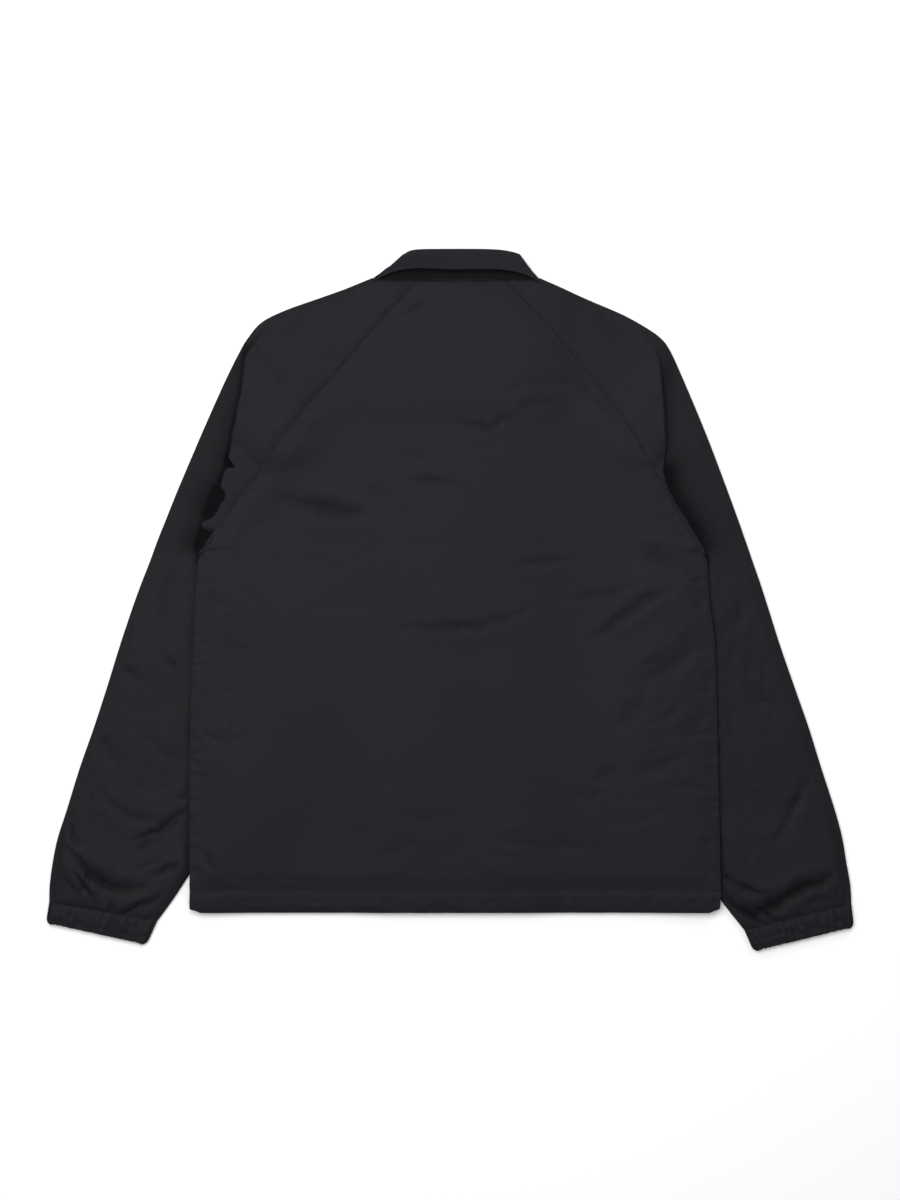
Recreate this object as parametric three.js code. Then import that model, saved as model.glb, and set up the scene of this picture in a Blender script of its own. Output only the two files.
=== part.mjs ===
// A collared nylon jacket with raglan sleeves, laid flat with its back up. Millimetres, +Z up from the surface that
// it lies on, +Y towards the collar. Left and right are the wearer's, so the left sleeve lies at -X.
import * as THREE from 'three';

// Cloth and seams
const CLOTH = 2.2; // shell cloth with its backing, as one wall
const CASING = 3; // doubled cloth of the hem and the cuffs
const LAYER_GAP = 0.4; // between two layers that lie on each other
const SEAM_GAP = 0.3; // between two pieces that are sewn together
const SIDE_GAP = 0.25; // half of a raglan seam's gap, measured across the body
const NECK_GAP = 0.6; // collar stand to the neckline's curve, and to the fall
const LAYER = CLOTH + LAYER_GAP; // middle of one layer to middle of the next
const FOLD_RADIUS = LAYER / 2; // a sharp fold, at the middle of the wall

// Body
const CENTRE = 5; // centre line of the back
const OVERLAP = 15; // each front reaches this far past the centre line
const HEM_SEAM = -318; // stitched line above the casing
const HEM_EDGE = -343.2;
const HEM_CORNER = { in: 12, up: 5 }; // rounding at the foot of each side
const RAMP = { clear: 4, end: 24, backEnd: 38 }; // body cloth comes down beside a sleeve that is tucked under it
const CLOSING = { flat: 60, end: 130, top: 262, topEnd: 320 }; // the back's rise over the overlapping fronts
const LAP = { clear: 3, end: 18 }; // the right front comes down again past the left front's edge
const CAP_FADE = 70; // the back comes down from the sleeves' folded caps over this width

// Neck and collar
const NECK = { x: 6.5, y: 353, half: 90, backSag: 4.5, frontDrop: 94.5 };
const FOLD_LINE = { y: 383, half: 57, frontDrop: 92, cornerDip: 5 };
const NECK_RISE = { half: 100, halfEnd: 140, low: 187, high: 226 }; // body cloth lies over the front collar here
const FRONT_SEAM_ANGLE = 34.5; // where a front raglan seam meets the neckline, in degrees from the side
const FALL = { back: 24, side: 34, front: 50, point: 13, lift: 9, spread: 20 }; // lengths down from the fold line

// Cuffs
const GATHERS = 18; // across each cuff
const GATHER_HEIGHT = 1.1;

// The side of the body below the armpit
const SIDE_COLUMNS = ['y', 'left', 'right'];
const SIDE = table(SIDE_COLUMNS, [
  [44, -276.1, 281.6],
  [0, -279.4, 284.4],
  [-44, -281.6, 290.4],
  [-132, -284.9, 292.9],
  [-220, -285.5, 294.8],
  [-318, -285.5, 297],
  [-344, -286, 296],
]);

// Raglan part of each sleeve, a row for each section from the neck down: back seam, outer edge, front seam, how far in
// from the outer edge the cap folds over, how far that fold turns in degrees, and how deep it runs under the cap
const RAGLAN_COLUMNS = ['backX', 'backY', 'edgeX', 'edgeY', 'frontX', 'frontY', 'foldIn', 'turn', 'depth'];
const RAGLAN = {
  left: table(RAGLAN_COLUMNS, [
    [-37.4, 349, -86.3, 352.6, -68, 299.3, 16, 0, 0],
    [-55, 330, -115.5, 341, -79, 286, 16, 0, 0],
    [-72.6, 312.4, -145.2, 330.6, -90, 270, 16, 0, 0],
    [-104.5, 275, -181.5, 317.9, -108, 245, 16, 0, 0],
    [-132, 243.1, -206.8, 305.3, -128, 218, 16, 0, 0],
    [-151.8, 220, -221.1, 289.3, -146, 195, 16, 10, 0],
    [-168.3, 199.1, -230.5, 273.9, -162, 176, 16, 60, 0],
    [-184.8, 178.2, -246.4, 242, -180, 156, 24, 120, 0],
    [-206.8, 145.2, -266.2, 198, -205, 128, 35, 180, 8],
    [-223.3, 123.2, -280.5, 165, -224, 108, 40, 180, 11],
    [-239.8, 101.2, -299.2, 121, -241, 90, 41, 180, 12],
    [-258.5, 73.7, -312.4, 88, -259, 68, 43.5, 180, 5],
    [-269.5, 56.1, -321.2, 66, -269, 53, 46.5, 150, 0],
  ]),
  right: table(RAGLAN_COLUMNS, [
    [63.8, 349.2, 99.3, 352.6, 81, 299.3, 16, 0, 0],
    [77, 335.5, 121, 343.2, 91, 287, 16, 0, 0],
    [94.6, 316.8, 154, 328.4, 102, 271, 16, 0, 0],
    [123.2, 284.9, 189.2, 313.5, 120, 247, 16, 0, 0],
    [149.6, 254.1, 214.5, 299.8, 142, 219, 16, 0, 0],
    [171.6, 226.6, 231, 288.2, 160, 197, 16, 10, 0],
    [189.2, 203.5, 241.5, 274.5, 176, 178, 20, 50, 0],
    [205.7, 178.2, 256.3, 242, 194, 156, 35, 120, 0],
    [223.9, 145.2, 275, 198, 216, 130, 59, 180, 5],
    [236.5, 123.2, 288.2, 165, 232, 110, 59, 180, 6],
    [248.6, 101.2, 304.7, 121, 247, 91, 52, 180, 5],
    [265.1, 72.6, 316.8, 88, 264, 67, 46.5, 180, 3],
    [275, 55, 324.5, 66, 274, 51, 44.5, 150, 0],
  ]),
};

// The arm below the armpit, a row for each section: the inner edge, tucked under the body, and the outer edge
const ARM_COLUMNS = ['innerX', 'innerY', 'edgeX', 'edgeY'];
const ARM = {
  left: table(ARM_COLUMNS, [
    [-280, 46, -330, 41.8],
    [-259.6, 15.4, -339.9, 16.5],
    [-244.2, -13.2, -349.8, -11],
    [-232.1, -55, -363, -50.6],
    [-226.6, -99, -377.3, -96.8],
    [-225.5, -143, -391.6, -140.8],
    [-231, -189.2, -407, -184.8],
    [-244.2, -233.2, -421.3, -231],
    [-264, -270.6, -431.2, -261.8],
    [-284.9, -299.2, -436.7, -288.2],
    [-303.6, -327.8, -440, -313.5],
    [-321.8, -352.8, -440.5, -332],
  ]),
  right: table(ARM_COLUMNS, [
    [286, 46, 332.8, 41.8],
    [266.2, 15.4, 341.6, 16.5],
    [253, -13.2, 350.4, -11],
    [242, -55, 363, -50.6],
    [236.5, -99, 379, -96.8],
    [235.4, -143, 394.4, -140.8],
    [238.7, -189.2, 408.1, -184.8],
    [248.6, -233.2, 423, -231],
    [264, -270.6, 431.2, -261.8],
    [281.6, -301.4, 435.6, -288.2],
    [298.1, -330, 440, -313.5],
    [323.4, -362.6, 441.1, -334],
  ]),
};

// The free edge of each cuff, from its outer to its inner corner
const CUFF_EDGE = {
  left: { outer: [-444, -354.2], inner: [-333.3, -378.4] },
  right: { outer: [444, -358.6], inner: [333.3, -385.6] },
};

const UP = new THREE.Vector3(0, 0, 1);
const SHELL = { color: 0x28272a, roughness: 0.62, metalness: 0 };
const TRIM = { color: 0x242326, roughness: 0.68, metalness: 0 };

function table(columns, rows) {
  return rows.map((row) => Object.fromEntries(columns.map((column, k) => [column, row[k]])));
}

function mix(a, b, t) {
  return a + (b - a) * t;
}

function smooth(low, high, value) {
  const t = Math.min(Math.max((value - low) / (high - low), 0), 1);
  return t * t * (3 - 2 * t);
}

function radians(degrees) {
  return (degrees * Math.PI) / 180;
}

// A column of a table at a height, straight between its rows, which run downwards
function atHeight(rows, heightColumn, column, y) {
  const last = rows.length - 2;
  let k = 0;
  while (k < last && y < rows[k + 1][heightColumn]) k += 1;
  const [a, b] = [rows[k], rows[k + 1]];
  return mix(a[column], b[column], (y - a[heightColumn]) / (b[heightColumn] - a[heightColumn]));
}

// A closed wall round a grid of points, each with its normal
function wall(name, grid, finish, { closed = false, thickness = CLOTH } = {}) {
  const rows = grid.length;
  const columns = grid[0].length;
  const spans = closed ? columns : columns - 1;
  const positions = [];
  for (const offset of [thickness / 2, -thickness / 2]) {
    for (const { point, normal } of grid.flat()) {
      positions.push(...point.clone().addScaledVector(normal, offset).toArray());
    }
  }
  const at = (side, i, j) => (side * rows + i) * columns + (j % columns);
  const index = [];
  const quad = (a, b, c, d) => index.push(a, b, c, a, c, d);
  for (let j = 0; j < spans; j++) {
    for (let i = 0; i < rows - 1; i++) {
      quad(at(0, i, j), at(0, i + 1, j), at(0, i + 1, j + 1), at(0, i, j + 1));
      quad(at(1, i, j), at(1, i, j + 1), at(1, i + 1, j + 1), at(1, i + 1, j));
    }
    quad(at(0, 0, j), at(0, 0, j + 1), at(1, 0, j + 1), at(1, 0, j));
    quad(at(0, rows - 1, j + 1), at(0, rows - 1, j), at(1, rows - 1, j), at(1, rows - 1, j + 1));
  }
  for (let i = 0; i < rows - 1 && !closed; i++) {
    quad(at(0, i + 1, 0), at(0, i, 0), at(1, i, 0), at(1, i + 1, 0));
    quad(at(0, i, spans), at(0, i + 1, spans), at(1, i + 1, spans), at(1, i, spans));
  }
  if (signedVolume(positions, index) < 0) index.reverse();
  const geometry = new THREE.BufferGeometry();
  geometry.setAttribute('position', new THREE.Float32BufferAttribute(positions, 3));
  geometry.setIndex(index);
  geometry.computeVertexNormals();
  const mesh = new THREE.Mesh(geometry, new THREE.MeshStandardMaterial(finish));
  mesh.name = name;
  return mesh;
}

function signedVolume(positions, index) {
  const corner = (k) => new THREE.Vector3().fromArray(positions, index[k] * 3);
  let volume = 0;
  for (let k = 0; k < index.length; k += 3) volume += corner(k).cross(corner(k + 1)).dot(corner(k + 2));
  return volume;
}

// How far the layers below lift the cloth at a place: over the front collar, and over a tucked sleeve
function neckRise(x, y) {
  const across = 1 - smooth(NECK_RISE.half, NECK_RISE.halfEnd, Math.abs(x - NECK.x));
  return LAYER * across * smooth(NECK_RISE.low, NECK_RISE.high, y);
}

function sleeveRise(x, y, end = RAMP.end) {
  const side = x < CENTRE ? 'left' : 'right';
  const sign = x < CENTRE ? 1 : -1;
  const armpit = ARM[side][0];
  const inner = y > armpit.innerY ? armpit.innerX : atHeight(ARM[side], 'innerY', 'innerX', y);
  const inside = (x - inner) * sign;
  const away = y > armpit.innerY ? Math.hypot(x - armpit.innerX, y - armpit.innerY) : inside;
  return 2 * LAYER * (1 - smooth(RAMP.clear, end, away));
}

function frontRise(x, y) {
  return neckRise(x, y) + sleeveRise(x, y);
}

// Run of the fold that the cap makes over the arm: its steps outwards and up, with the heading after each
const ARC = Math.PI * FOLD_RADIUS;
const REACH = FOLD_RADIUS + CLOTH / 2; // from the start of a fold to its outer face
const TUCK = FOLD_RADIUS * 1.45; // cloth in the quarter turn at an arm's inner edge
const TUCK_STEPS = 2;

function bend(heading, turn, length, count) {
  return Array.from({ length: count }, (_, k) => {
    const angle = heading + (turn * (k + 0.5)) / count;
    const half = turn / count / 2;
    const step = (length / count) * (half ? Math.sin(half) / half : 1);
    return { out: step * Math.cos(angle), up: step * Math.sin(angle), heading: heading + (turn * (k + 1)) / count };
  });
}

function capFold(row) {
  const turn = radians(row.turn);
  const steps = [...bend(0, -turn, ARC, 3), ...bend(-turn, 0, row.depth + 1, 1), ...bend(-turn, turn, ARC, 3)];
  const drop = -steps.reduce((sum, step) => sum + step.up, 0);
  return { steps, drop, reach: REACH * Math.sin(Math.min(turn, Math.PI / 2)) };
}

// Sleeve sections, neck to cuff
function sleeveRows(side) {
  const raglan = RAGLAN[side].map((row) => ({ ...row, tuck: 0 }));
  const arm = ARM[side].map((row) => ({
    backX: row.innerX,
    backY: row.innerY,
    edgeX: row.edgeX,
    edgeY: row.edgeY,
    frontX: row.innerX,
    frontY: row.innerY,
    foldIn: 40,
    turn: 0,
    depth: 0,
    tuck: Math.PI / 2,
  }));
  return [...raglan, ...arm];
}

const NECK_BLEND = [1, 0.5, 0.2]; // how far the first rows of a piece follow the curve of the neckline

function neckBow(k, angleFrom, angleTo, drop, t) {
  const share = NECK_BLEND[k] ?? 0;
  const at = (angle) => ({ x: -NECK.half * Math.cos(angle), y: -drop * Math.sin(angle) });
  const [a, b, c] = [at(angleFrom), at(angleTo), at(mix(angleFrom, angleTo, t))];
  return { x: share * (c.x - mix(a.x, b.x, t)), y: share * (c.y - mix(a.y, b.y, t)) };
}

// Top edge of the back and of the sleeves' backs, just below the neck seam
function backNeck(x) {
  const share = Math.min(Math.abs(x - NECK.x) / NECK.half, 1);
  return NECK.y - NECK.backSag * Math.sqrt(1 - share ** 2) - SEAM_GAP;
}

function sleeve(side) {
  const sign = side === 'left' ? 1 : -1;
  const floor = CLOTH / 2;
  const grid = sleeveRows(side).map((row, k) => {
    const back = new THREE.Vector2(row.backX, row.backY);
    const edge = new THREE.Vector2(row.edgeX, row.edgeY);
    const front = new THREE.Vector2(row.frontX, row.frontY);
    const out = edge.clone().sub(back).normalize();
    const fold = capFold(row);
    const line = [];
    const put = (plan, z, heading) => {
      const lean = -Math.sin(heading);
      const normal = new THREE.Vector3(out.x * lean, out.y * lean, Math.cos(heading));
      const y = k === 0 && heading === 0 ? backNeck(plan.x) : plan.y;
      line.push({ point: new THREE.Vector3(plan.x, y, z), normal });
    };
    const walk = (plan, z, steps) => {
      const place = plan.clone();
      let height = z;
      for (const step of steps) {
        place.addScaledVector(out, step.out);
        height += step.up;
        put(place, height, step.heading);
      }
      return place;
    };
    const run = (from, to, count, height, heading, bow) => {
      for (let n = 1; n <= count; n++) {
        const place = from.clone().lerp(to, n / count);
        if (bow) place.add(bow(n / count));
        put(place, height(place), heading);
      }
    };
    const under = ({ x, y }) => floor + neckRise(x, y);
    const strip = (place) => under(place) + LAYER;
    const cap = (place) => strip(place) + fold.drop;
    const tuckIn = bend(row.tuck, -row.tuck, TUCK, TUCK_STEPS);
    const tuckRise = tuckIn.reduce((sum, step) => sum + step.up, 0);
    const start = back.clone().addScaledVector(out, row.tuck ? CLOTH / 2 : SEAM_GAP / 2);
    const startHeight = cap(start) - tuckRise;
    put(start, startHeight, row.tuck);
    const capStart = walk(start, startHeight, tuckIn);
    const foldPlace = edge.clone().addScaledVector(out, -row.foldIn - fold.reach);
    run(capStart, foldPlace, 3, cap, 0);
    const stripStart = walk(foldPlace, cap(foldPlace), fold.steps);
    const rollPlace = edge.clone().addScaledVector(out, -REACH);
    run(stripStart, rollPlace, 2, strip, 0);
    const floorStart = walk(rollPlace, strip(rollPlace), bend(0, -Math.PI, ARC, 3));
    const inwards = edge.clone().sub(front).normalize();
    const end = front.clone().addScaledVector(row.tuck ? out : inwards, row.tuck ? REACH : SEAM_GAP / 2);
    const bow = (t) => {
      const curve = neckBow(k, 0, radians(FRONT_SEAM_ANGLE), NECK.frontDrop, t);
      return new THREE.Vector2(curve.x * sign, curve.y);
    };
    run(floorStart, end, row.tuck ? 3 : 3 + TUCK_STEPS, under, -Math.PI, bow);
    if (row.tuck) walk(end, under(end), bend(-Math.PI, -row.tuck, TUCK, TUCK_STEPS));
    return line;
  });
  return wall(`sleeve_${side}`, grid, SHELL);
}

// Body panels lie flat, so their walls stand straight up from their plan
function lie(place, z) {
  return { point: new THREE.Vector3(place.x, place.y, z), normal: UP };
}

// Places from one edge of a panel to the other, closer together where the cloth comes down beside an edge
function across(from, to, fromInsets, toInsets, count) {
  const sign = Math.sign(to.x - from.x);
  const start = from.x + sign * fromInsets.at(-1);
  const stop = to.x - sign * toInsets.at(-1);
  const middle = Array.from({ length: count - 1 }, (_, k) => mix(start, stop, (k + 1) / count));
  const places = [...fromInsets.map((inset) => from.x + sign * inset), ...middle];
  places.push(...toInsets.toReversed().map((inset) => to.x - sign * inset));
  return places.map((x) => (x - from.x) / (to.x - from.x));
}

const RAGLAN_INSETS = [0, 8, 20, 38, 62];
const RAMP_INSETS = [3, 10, 17, 26];
const RIGHT_CLOSING_INSETS = [0, 17, 33, 41, 49];
const LEFT_CLOSING_INSETS = [0, 12];
const BACK_SPANS = 10; // even steps between the insets
const FRONT_SPANS = 6;

function raglanInsets(width) {
  return RAGLAN_INSETS.map((inset) => inset * Math.min(1, width / 300));
}

function sideInsets(side, y) {
  const hidden = Math.abs(atHeight(SIDE, 'y', side, y)) - Math.abs(atHeight(ARM[side], 'innerY', 'innerX', y));
  return [0, ...RAMP_INSETS.map((inset, k) => Math.max(4 * (k + 1), hidden + inset))];
}

// Rows of the body below the armpit, at the heights of the arm's sections
const SIDE_ROWS = [SIDE[0].y, ...ARM.left.slice(1, 10).map((row) => row.innerY), HEM_SEAM + SEAM_GAP / 2];
const HEM_ROWS = [HEM_SEAM - SEAM_GAP / 2, -330, HEM_EDGE + HEM_CORNER.up, HEM_EDGE];

function sidePoint(side, y) {
  const corner = HEM_CORNER.in * smooth(HEM_EDGE + HEM_CORNER.up, HEM_EDGE, y);
  const x = atHeight(SIDE, 'y', side, y);
  return new THREE.Vector2(x - Math.sign(x) * corner, y);
}

function back(name, sections, thickness, finish) {
  const step = thickness + LAYER_GAP;
  const grid = sections.map(({ left, right, leftInsets, rightInsets, leftDrop = 0, rightDrop = 0, atNeck }) =>
    across(left, right, leftInsets, rightInsets, BACK_SPANS).map((t) => {
      const place = left.clone().lerp(right, t);
      if (atNeck) place.y = backNeck(place.x);
      const beside = 1 - smooth(CLOSING.flat, CLOSING.end, Math.abs(place.x - CENTRE));
      const closing = beside * (1 - smooth(CLOSING.top, CLOSING.topEnd, place.y));
      const cap = Math.max(
        leftDrop * (1 - smooth(0, CAP_FADE, place.x - left.x)),
        rightDrop * (1 - smooth(0, CAP_FADE, right.x - place.x)),
      );
      const rise = neckRise(place.x, place.y) + Math.max(sleeveRise(place.x, place.y, RAMP.backEnd), cap);
      return lie(place, thickness / 2 + step * (1 + closing) + rise);
    }),
  );
  return wall(name, grid, finish, { thickness });
}

function backPanel() {
  const upper = RAGLAN.left.map((row, k) => {
    const other = RAGLAN.right[k];
    const insets = raglanInsets(other.backX - row.backX);
    return {
      left: new THREE.Vector2(row.backX + SIDE_GAP, row.backY),
      right: new THREE.Vector2(other.backX - SIDE_GAP, other.backY),
      leftInsets: insets,
      rightInsets: insets,
      leftDrop: capFold(row).drop,
      rightDrop: capFold(other).drop,
      atNeck: k === 0,
    };
  });
  return back('back_panel', [...upper, ...SIDE_ROWS.map(sideSection)], CLOTH, SHELL);
}

function sideSection(y) {
  return {
    left: sidePoint('left', y),
    right: sidePoint('right', y),
    leftInsets: sideInsets('left', y),
    rightInsets: sideInsets('right', y),
  };
}

// A front, from its raglan or side edge to its edge past the centre. The left front lies outermost, on the floor.
function front(name, side, sections, thickness, finish) {
  const over = side === 'right';
  const step = thickness + LAYER_GAP;
  const closing = over ? RIGHT_CLOSING_INSETS : LEFT_CLOSING_INSETS;
  const grid = sections.map(({ outer, inner, insets, bow }) =>
    across(outer, inner, insets, closing, FRONT_SPANS).map((t) => {
      const place = outer.clone().lerp(inner, t);
      if (bow) place.add(bow(t));
      const past = place.x - CENTRE - OVERLAP;
      const lap = over ? 1 - smooth(LAP.clear, LAP.end, past) : 0;
      return lie(place, thickness / 2 + frontRise(place.x, place.y) + step * lap);
    }),
  );
  if (over) grid.forEach((row) => row.reverse());
  return wall(name, grid, finish, { thickness });
}

function centreEdge(side) {
  return side === 'left' ? CENTRE + OVERLAP : CENTRE - OVERLAP;
}

function frontSideSection(side, y) {
  return { outer: sidePoint(side, y), inner: new THREE.Vector2(centreEdge(side), y), insets: sideInsets(side, y) };
}

function frontPanel(side) {
  const sign = side === 'left' ? 1 : -1;
  const edge = centreEdge(side);
  const fullAngle = Math.acos((sign * (NECK.x - edge)) / NECK.half);
  const top = NECK.y - NECK.frontDrop * Math.sin(fullAngle);
  const rows = RAGLAN[side];
  const share = (row) => (rows[0].frontY - row.frontY) / (rows[0].frontY - SIDE[0].y);
  const upper = rows.map((row, k) => {
    const outer = new THREE.Vector2(row.frontX + sign * SIDE_GAP, row.frontY);
    const inner = new THREE.Vector2(edge, mix(top, SIDE[0].y, share(row)));
    const bow = (t) => {
      const curve = neckBow(k, radians(FRONT_SEAM_ANGLE), fullAngle, NECK.frontDrop, t);
      return new THREE.Vector2(curve.x * sign, curve.y);
    };
    return { outer, inner, insets: raglanInsets(Math.abs(inner.x - outer.x) * 2), bow };
  });
  const lower = SIDE_ROWS.map((y) => frontSideSection(side, y));
  return front(`front_${side}`, side, [...upper, ...lower], CLOTH, SHELL);
}

// Elastic cuffs: a flattened ring with gathers over its upper side and a plain underside
function cuff(side) {
  const seam = ARM[side].at(-1);
  const corners = {
    outer: [new THREE.Vector2(seam.edgeX, seam.edgeY), new THREE.Vector2(...CUFF_EDGE[side].outer)],
    inner: [new THREE.Vector2(seam.innerX, seam.innerY), new THREE.Vector2(...CUFF_EDGE[side].inner)],
  };
  const radius = (CASING + LAYER_GAP) / 2;
  const steps = GATHERS * 4;
  const grid = [0.02, 0.5, 1].map((t) => {
    const outer = corners.outer[0].clone().lerp(corners.outer[1], t);
    const inner = corners.inner[0].clone().lerp(corners.inner[1], t);
    const out = outer.clone().sub(inner).normalize();
    const width = outer.distanceTo(inner);
    const half = width / 2 - radius - CASING / 2;
    const middle = outer.clone().lerp(inner, 0.5);
    const fullness = GATHER_HEIGHT * mix(0.5, 1, t);
    const line = [];
    const put = (along, angle, raised) => {
      const normal = new THREE.Vector3(out.x * Math.sin(angle), out.y * Math.sin(angle), Math.cos(angle));
      const place = middle.clone().addScaledVector(out, along);
      const point = new THREE.Vector3(place.x, place.y, CASING / 2 + radius);
      line.push({ point: point.addScaledVector(normal, radius + raised), normal });
    };
    for (let k = 0; k <= steps; k++) {
      const wave = (1 - Math.cos((2 * Math.PI * k) / 4)) / 2;
      put(mix(-half, half, k / steps), 0, fullness * wave);
    }
    for (let k = 1; k < 4; k++) put(half, (Math.PI * k) / 4, 0);
    for (let k = 0; k <= 8; k++) put(mix(half, -half, k / 8), Math.PI, 0);
    for (let k = 1; k < 4; k++) put(-half, Math.PI + (Math.PI * k) / 4, 0);
    return line;
  });
  return wall(`cuff_${side}`, grid, TRIM, { closed: true, thickness: CASING });
}

// Collar: a ring of stations from the left front end, round the neck, to the right front end. Each has its place on
// the neck seam and on the fold line, and the direction that faces out of the ring.
const RING = { front: 8, roll: 4, back: 14, sideStart: 6, frontEnd: 88.5 }; // stations, and degrees from the side

function station(angle, facing, isFront) {
  const [across, down] = [Math.cos(angle), Math.sin(angle)];
  const seamDrop = (isFront ? NECK.frontDrop : NECK.backSag) * down;
  const foldDrop = isFront ? FOLD_LINE.cornerDip + FOLD_LINE.frontDrop * down : FOLD_LINE.cornerDip * across ** 4;
  const seam = new THREE.Vector2(NECK.x - NECK.half * across, NECK.y - seamDrop);
  const fold = new THREE.Vector2(NECK.x - FOLD_LINE.half * across, FOLD_LINE.y - foldDrop);
  const up = fold.clone().sub(seam).normalize();
  const left = across > 0;
  const aside = left ? new THREE.Vector2(-up.y, up.x) : new THREE.Vector2(up.y, -up.x);
  const out = new THREE.Vector3(aside.x * Math.cos(facing), aside.y * Math.cos(facing), Math.sin(facing));
  return { angle, seam, fold, up: new THREE.Vector3(up.x, up.y, 0), out, isFront, left };
}

function collarRing() {
  const ring = [];
  const end = radians(RING.frontEnd);
  const start = radians(RING.sideStart);
  const [down, up] = [-Math.PI / 2, Math.PI / 2];
  const add = (angle, facing, isFront) => ring.push(station(angle, facing, isFront));
  for (let k = 0; k <= RING.front; k++) add(mix(end, start, k / RING.front), down, true);
  for (let k = 1; k < RING.roll; k++) add(0, mix(down, up, k / RING.roll), false);
  for (let k = 0; k <= RING.back; k++) add(mix(start, Math.PI - start, k / RING.back), up, false);
  for (let k = 1; k < RING.roll; k++) add(Math.PI, mix(up, down, k / RING.roll), false);
  for (let k = 0; k <= RING.front; k++) add(Math.PI - mix(start, end, k / RING.front), down, true);
  return ring;
}

const NECK_LEVEL = CLOTH / 2 + LAYER + FOLD_RADIUS; // middle of the flattened ring

function onRing(place, out, offset) {
  return new THREE.Vector3(place.x, place.y, NECK_LEVEL).addScaledVector(out, FOLD_RADIUS + offset);
}

function collarStand() {
  const grid = [0, 0.5, 1].map((t) =>
    collarRing().map(({ seam, fold, up, out }) => {
      const low = seam.clone().addScaledVector(up, NECK_GAP);
      const high = fold.clone().addScaledVector(up, -NECK_GAP);
      return { point: onRing(low.lerp(high, t), out, 0), normal: out };
    }),
  );
  return wall('collar_stand', grid, SHELL);
}

const POINT_START = 0.6; // the front collar lengthens into its points from here, as a share of the way to the front

function fallLength({ angle, isFront }) {
  const turn = Math.sin(angle);
  if (isFront) return mix(FALL.side, FALL.front, smooth(0, POINT_START, turn)) + FALL.point * smooth(POINT_START, 1, turn);
  return mix(FALL.side, FALL.back, smooth(0, 0.75, turn));
}

function collarFall() {
  const bendSteps = 4;
  const dropSteps = 4;
  const columns = collarRing().map((at) => {
    const length = fallLength(at);
    const lift = at.isFront ? 0 : FALL.lift * smooth(0.1, 0.8, Math.sin(at.angle));
    const spread = FALL.spread * smooth(POINT_START, 1, Math.sin(at.angle)) * (at.left ? -1 : 1);
    const aside = at.isFront ? spread : 0;
    return Array.from({ length: bendSteps + dropSteps + 1 }, (_, k) => {
      const turn = (Math.PI * Math.min(k, bendSteps)) / bendSteps;
      const down = Math.max(k - bendSteps, 0) / dropSteps;
      const along = FOLD_RADIUS * Math.sin(turn) - length * down;
      const off = FOLD_RADIUS * (1 - Math.cos(turn)) + lift * down ** 1.5;
      const place = at.fold.clone().addScaledVector(at.up, along);
      place.x += aside * down;
      const normal = at.out.clone().multiplyScalar(-Math.cos(turn)).addScaledVector(at.up, Math.sin(turn));
      return { point: onRing(place, at.out, off), normal };
    });
  });
  return wall('collar_fall', columns, SHELL);
}

const hemSections = (make) => HEM_ROWS.map(make);

const jacket = new THREE.Group();
jacket.add(
  backPanel(),
  frontPanel('left'),
  frontPanel('right'),
  sleeve('left'),
  sleeve('right'),
  cuff('left'),
  cuff('right'),
  collarStand(),
  collarFall(),
  back('hem_back', hemSections(sideSection), CASING, TRIM),
  front('hem_front_left', 'left', hemSections((y) => frontSideSection('left', y)), CASING, TRIM),
  front('hem_front_right', 'right', hemSections((y) => frontSideSection('right', y)), CASING, TRIM),
);

export default jacket;
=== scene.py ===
import math

import bpy
import numpy as np
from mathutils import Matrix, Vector


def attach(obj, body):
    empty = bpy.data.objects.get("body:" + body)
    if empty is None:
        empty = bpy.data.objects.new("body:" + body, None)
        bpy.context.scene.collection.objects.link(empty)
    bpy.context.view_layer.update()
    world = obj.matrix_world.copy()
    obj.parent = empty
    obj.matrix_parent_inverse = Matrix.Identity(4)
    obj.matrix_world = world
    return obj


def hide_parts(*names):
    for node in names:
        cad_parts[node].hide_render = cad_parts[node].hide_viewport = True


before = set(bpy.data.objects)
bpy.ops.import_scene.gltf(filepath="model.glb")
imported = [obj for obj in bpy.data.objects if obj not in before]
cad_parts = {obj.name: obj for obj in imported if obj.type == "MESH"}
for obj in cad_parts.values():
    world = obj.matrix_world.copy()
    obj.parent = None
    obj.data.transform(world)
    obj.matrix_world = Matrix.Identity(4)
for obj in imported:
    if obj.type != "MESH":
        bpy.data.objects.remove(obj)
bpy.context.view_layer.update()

# The studio: a plain pale floor that the jacket lies on, a soft light overhead and a weaker one from the side
# of the collar, and a long lens straight above, which sees the whole jacket as a flat cut-out.
VIEW_HEIGHT = 1.32
LENS = 0.087
SENSOR = 0.036
FLOOR_SIZE = 14.0
FLOOR_DROP = 0.0005

floor_mesh = bpy.data.meshes.new("floor")
half_floor = FLOOR_SIZE / 2
corners = [(across * half_floor, up * half_floor, 0) for across, up in ((-1, -1), (1, -1), (1, 1), (-1, 1))]
floor_mesh.from_pydata(corners, [], [(0, 1, 2, 3)])
floor = bpy.data.objects.new("floor", floor_mesh)
floor.location.z = -FLOOR_DROP
bpy.context.collection.objects.link(floor)
floor_paint = bpy.data.materials.new("studio_floor")
floor_paint.use_nodes = True
floor_shader = floor_paint.node_tree.nodes["Principled BSDF"]
floor_shader.inputs["Base Color"].default_value = (0.9, 0.9, 0.9, 1)
floor_shader.inputs["Roughness"].default_value = 0.9
floor_shader.inputs["Specular IOR Level"].default_value = 0.1
floor_mesh.materials.append(floor_paint)


def softbox(name, place, size, power):
    """A round soft light that faces the jacket."""
    data = bpy.data.lights.new(name, "AREA")
    data.shape = "DISK"
    data.size = size
    data.energy = power
    light = bpy.data.objects.new(name, data)
    light.location = place
    light.rotation_euler = (-Vector(place)).to_track_quat("-Z", "Y").to_euler()
    bpy.context.collection.objects.link(light)


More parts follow.
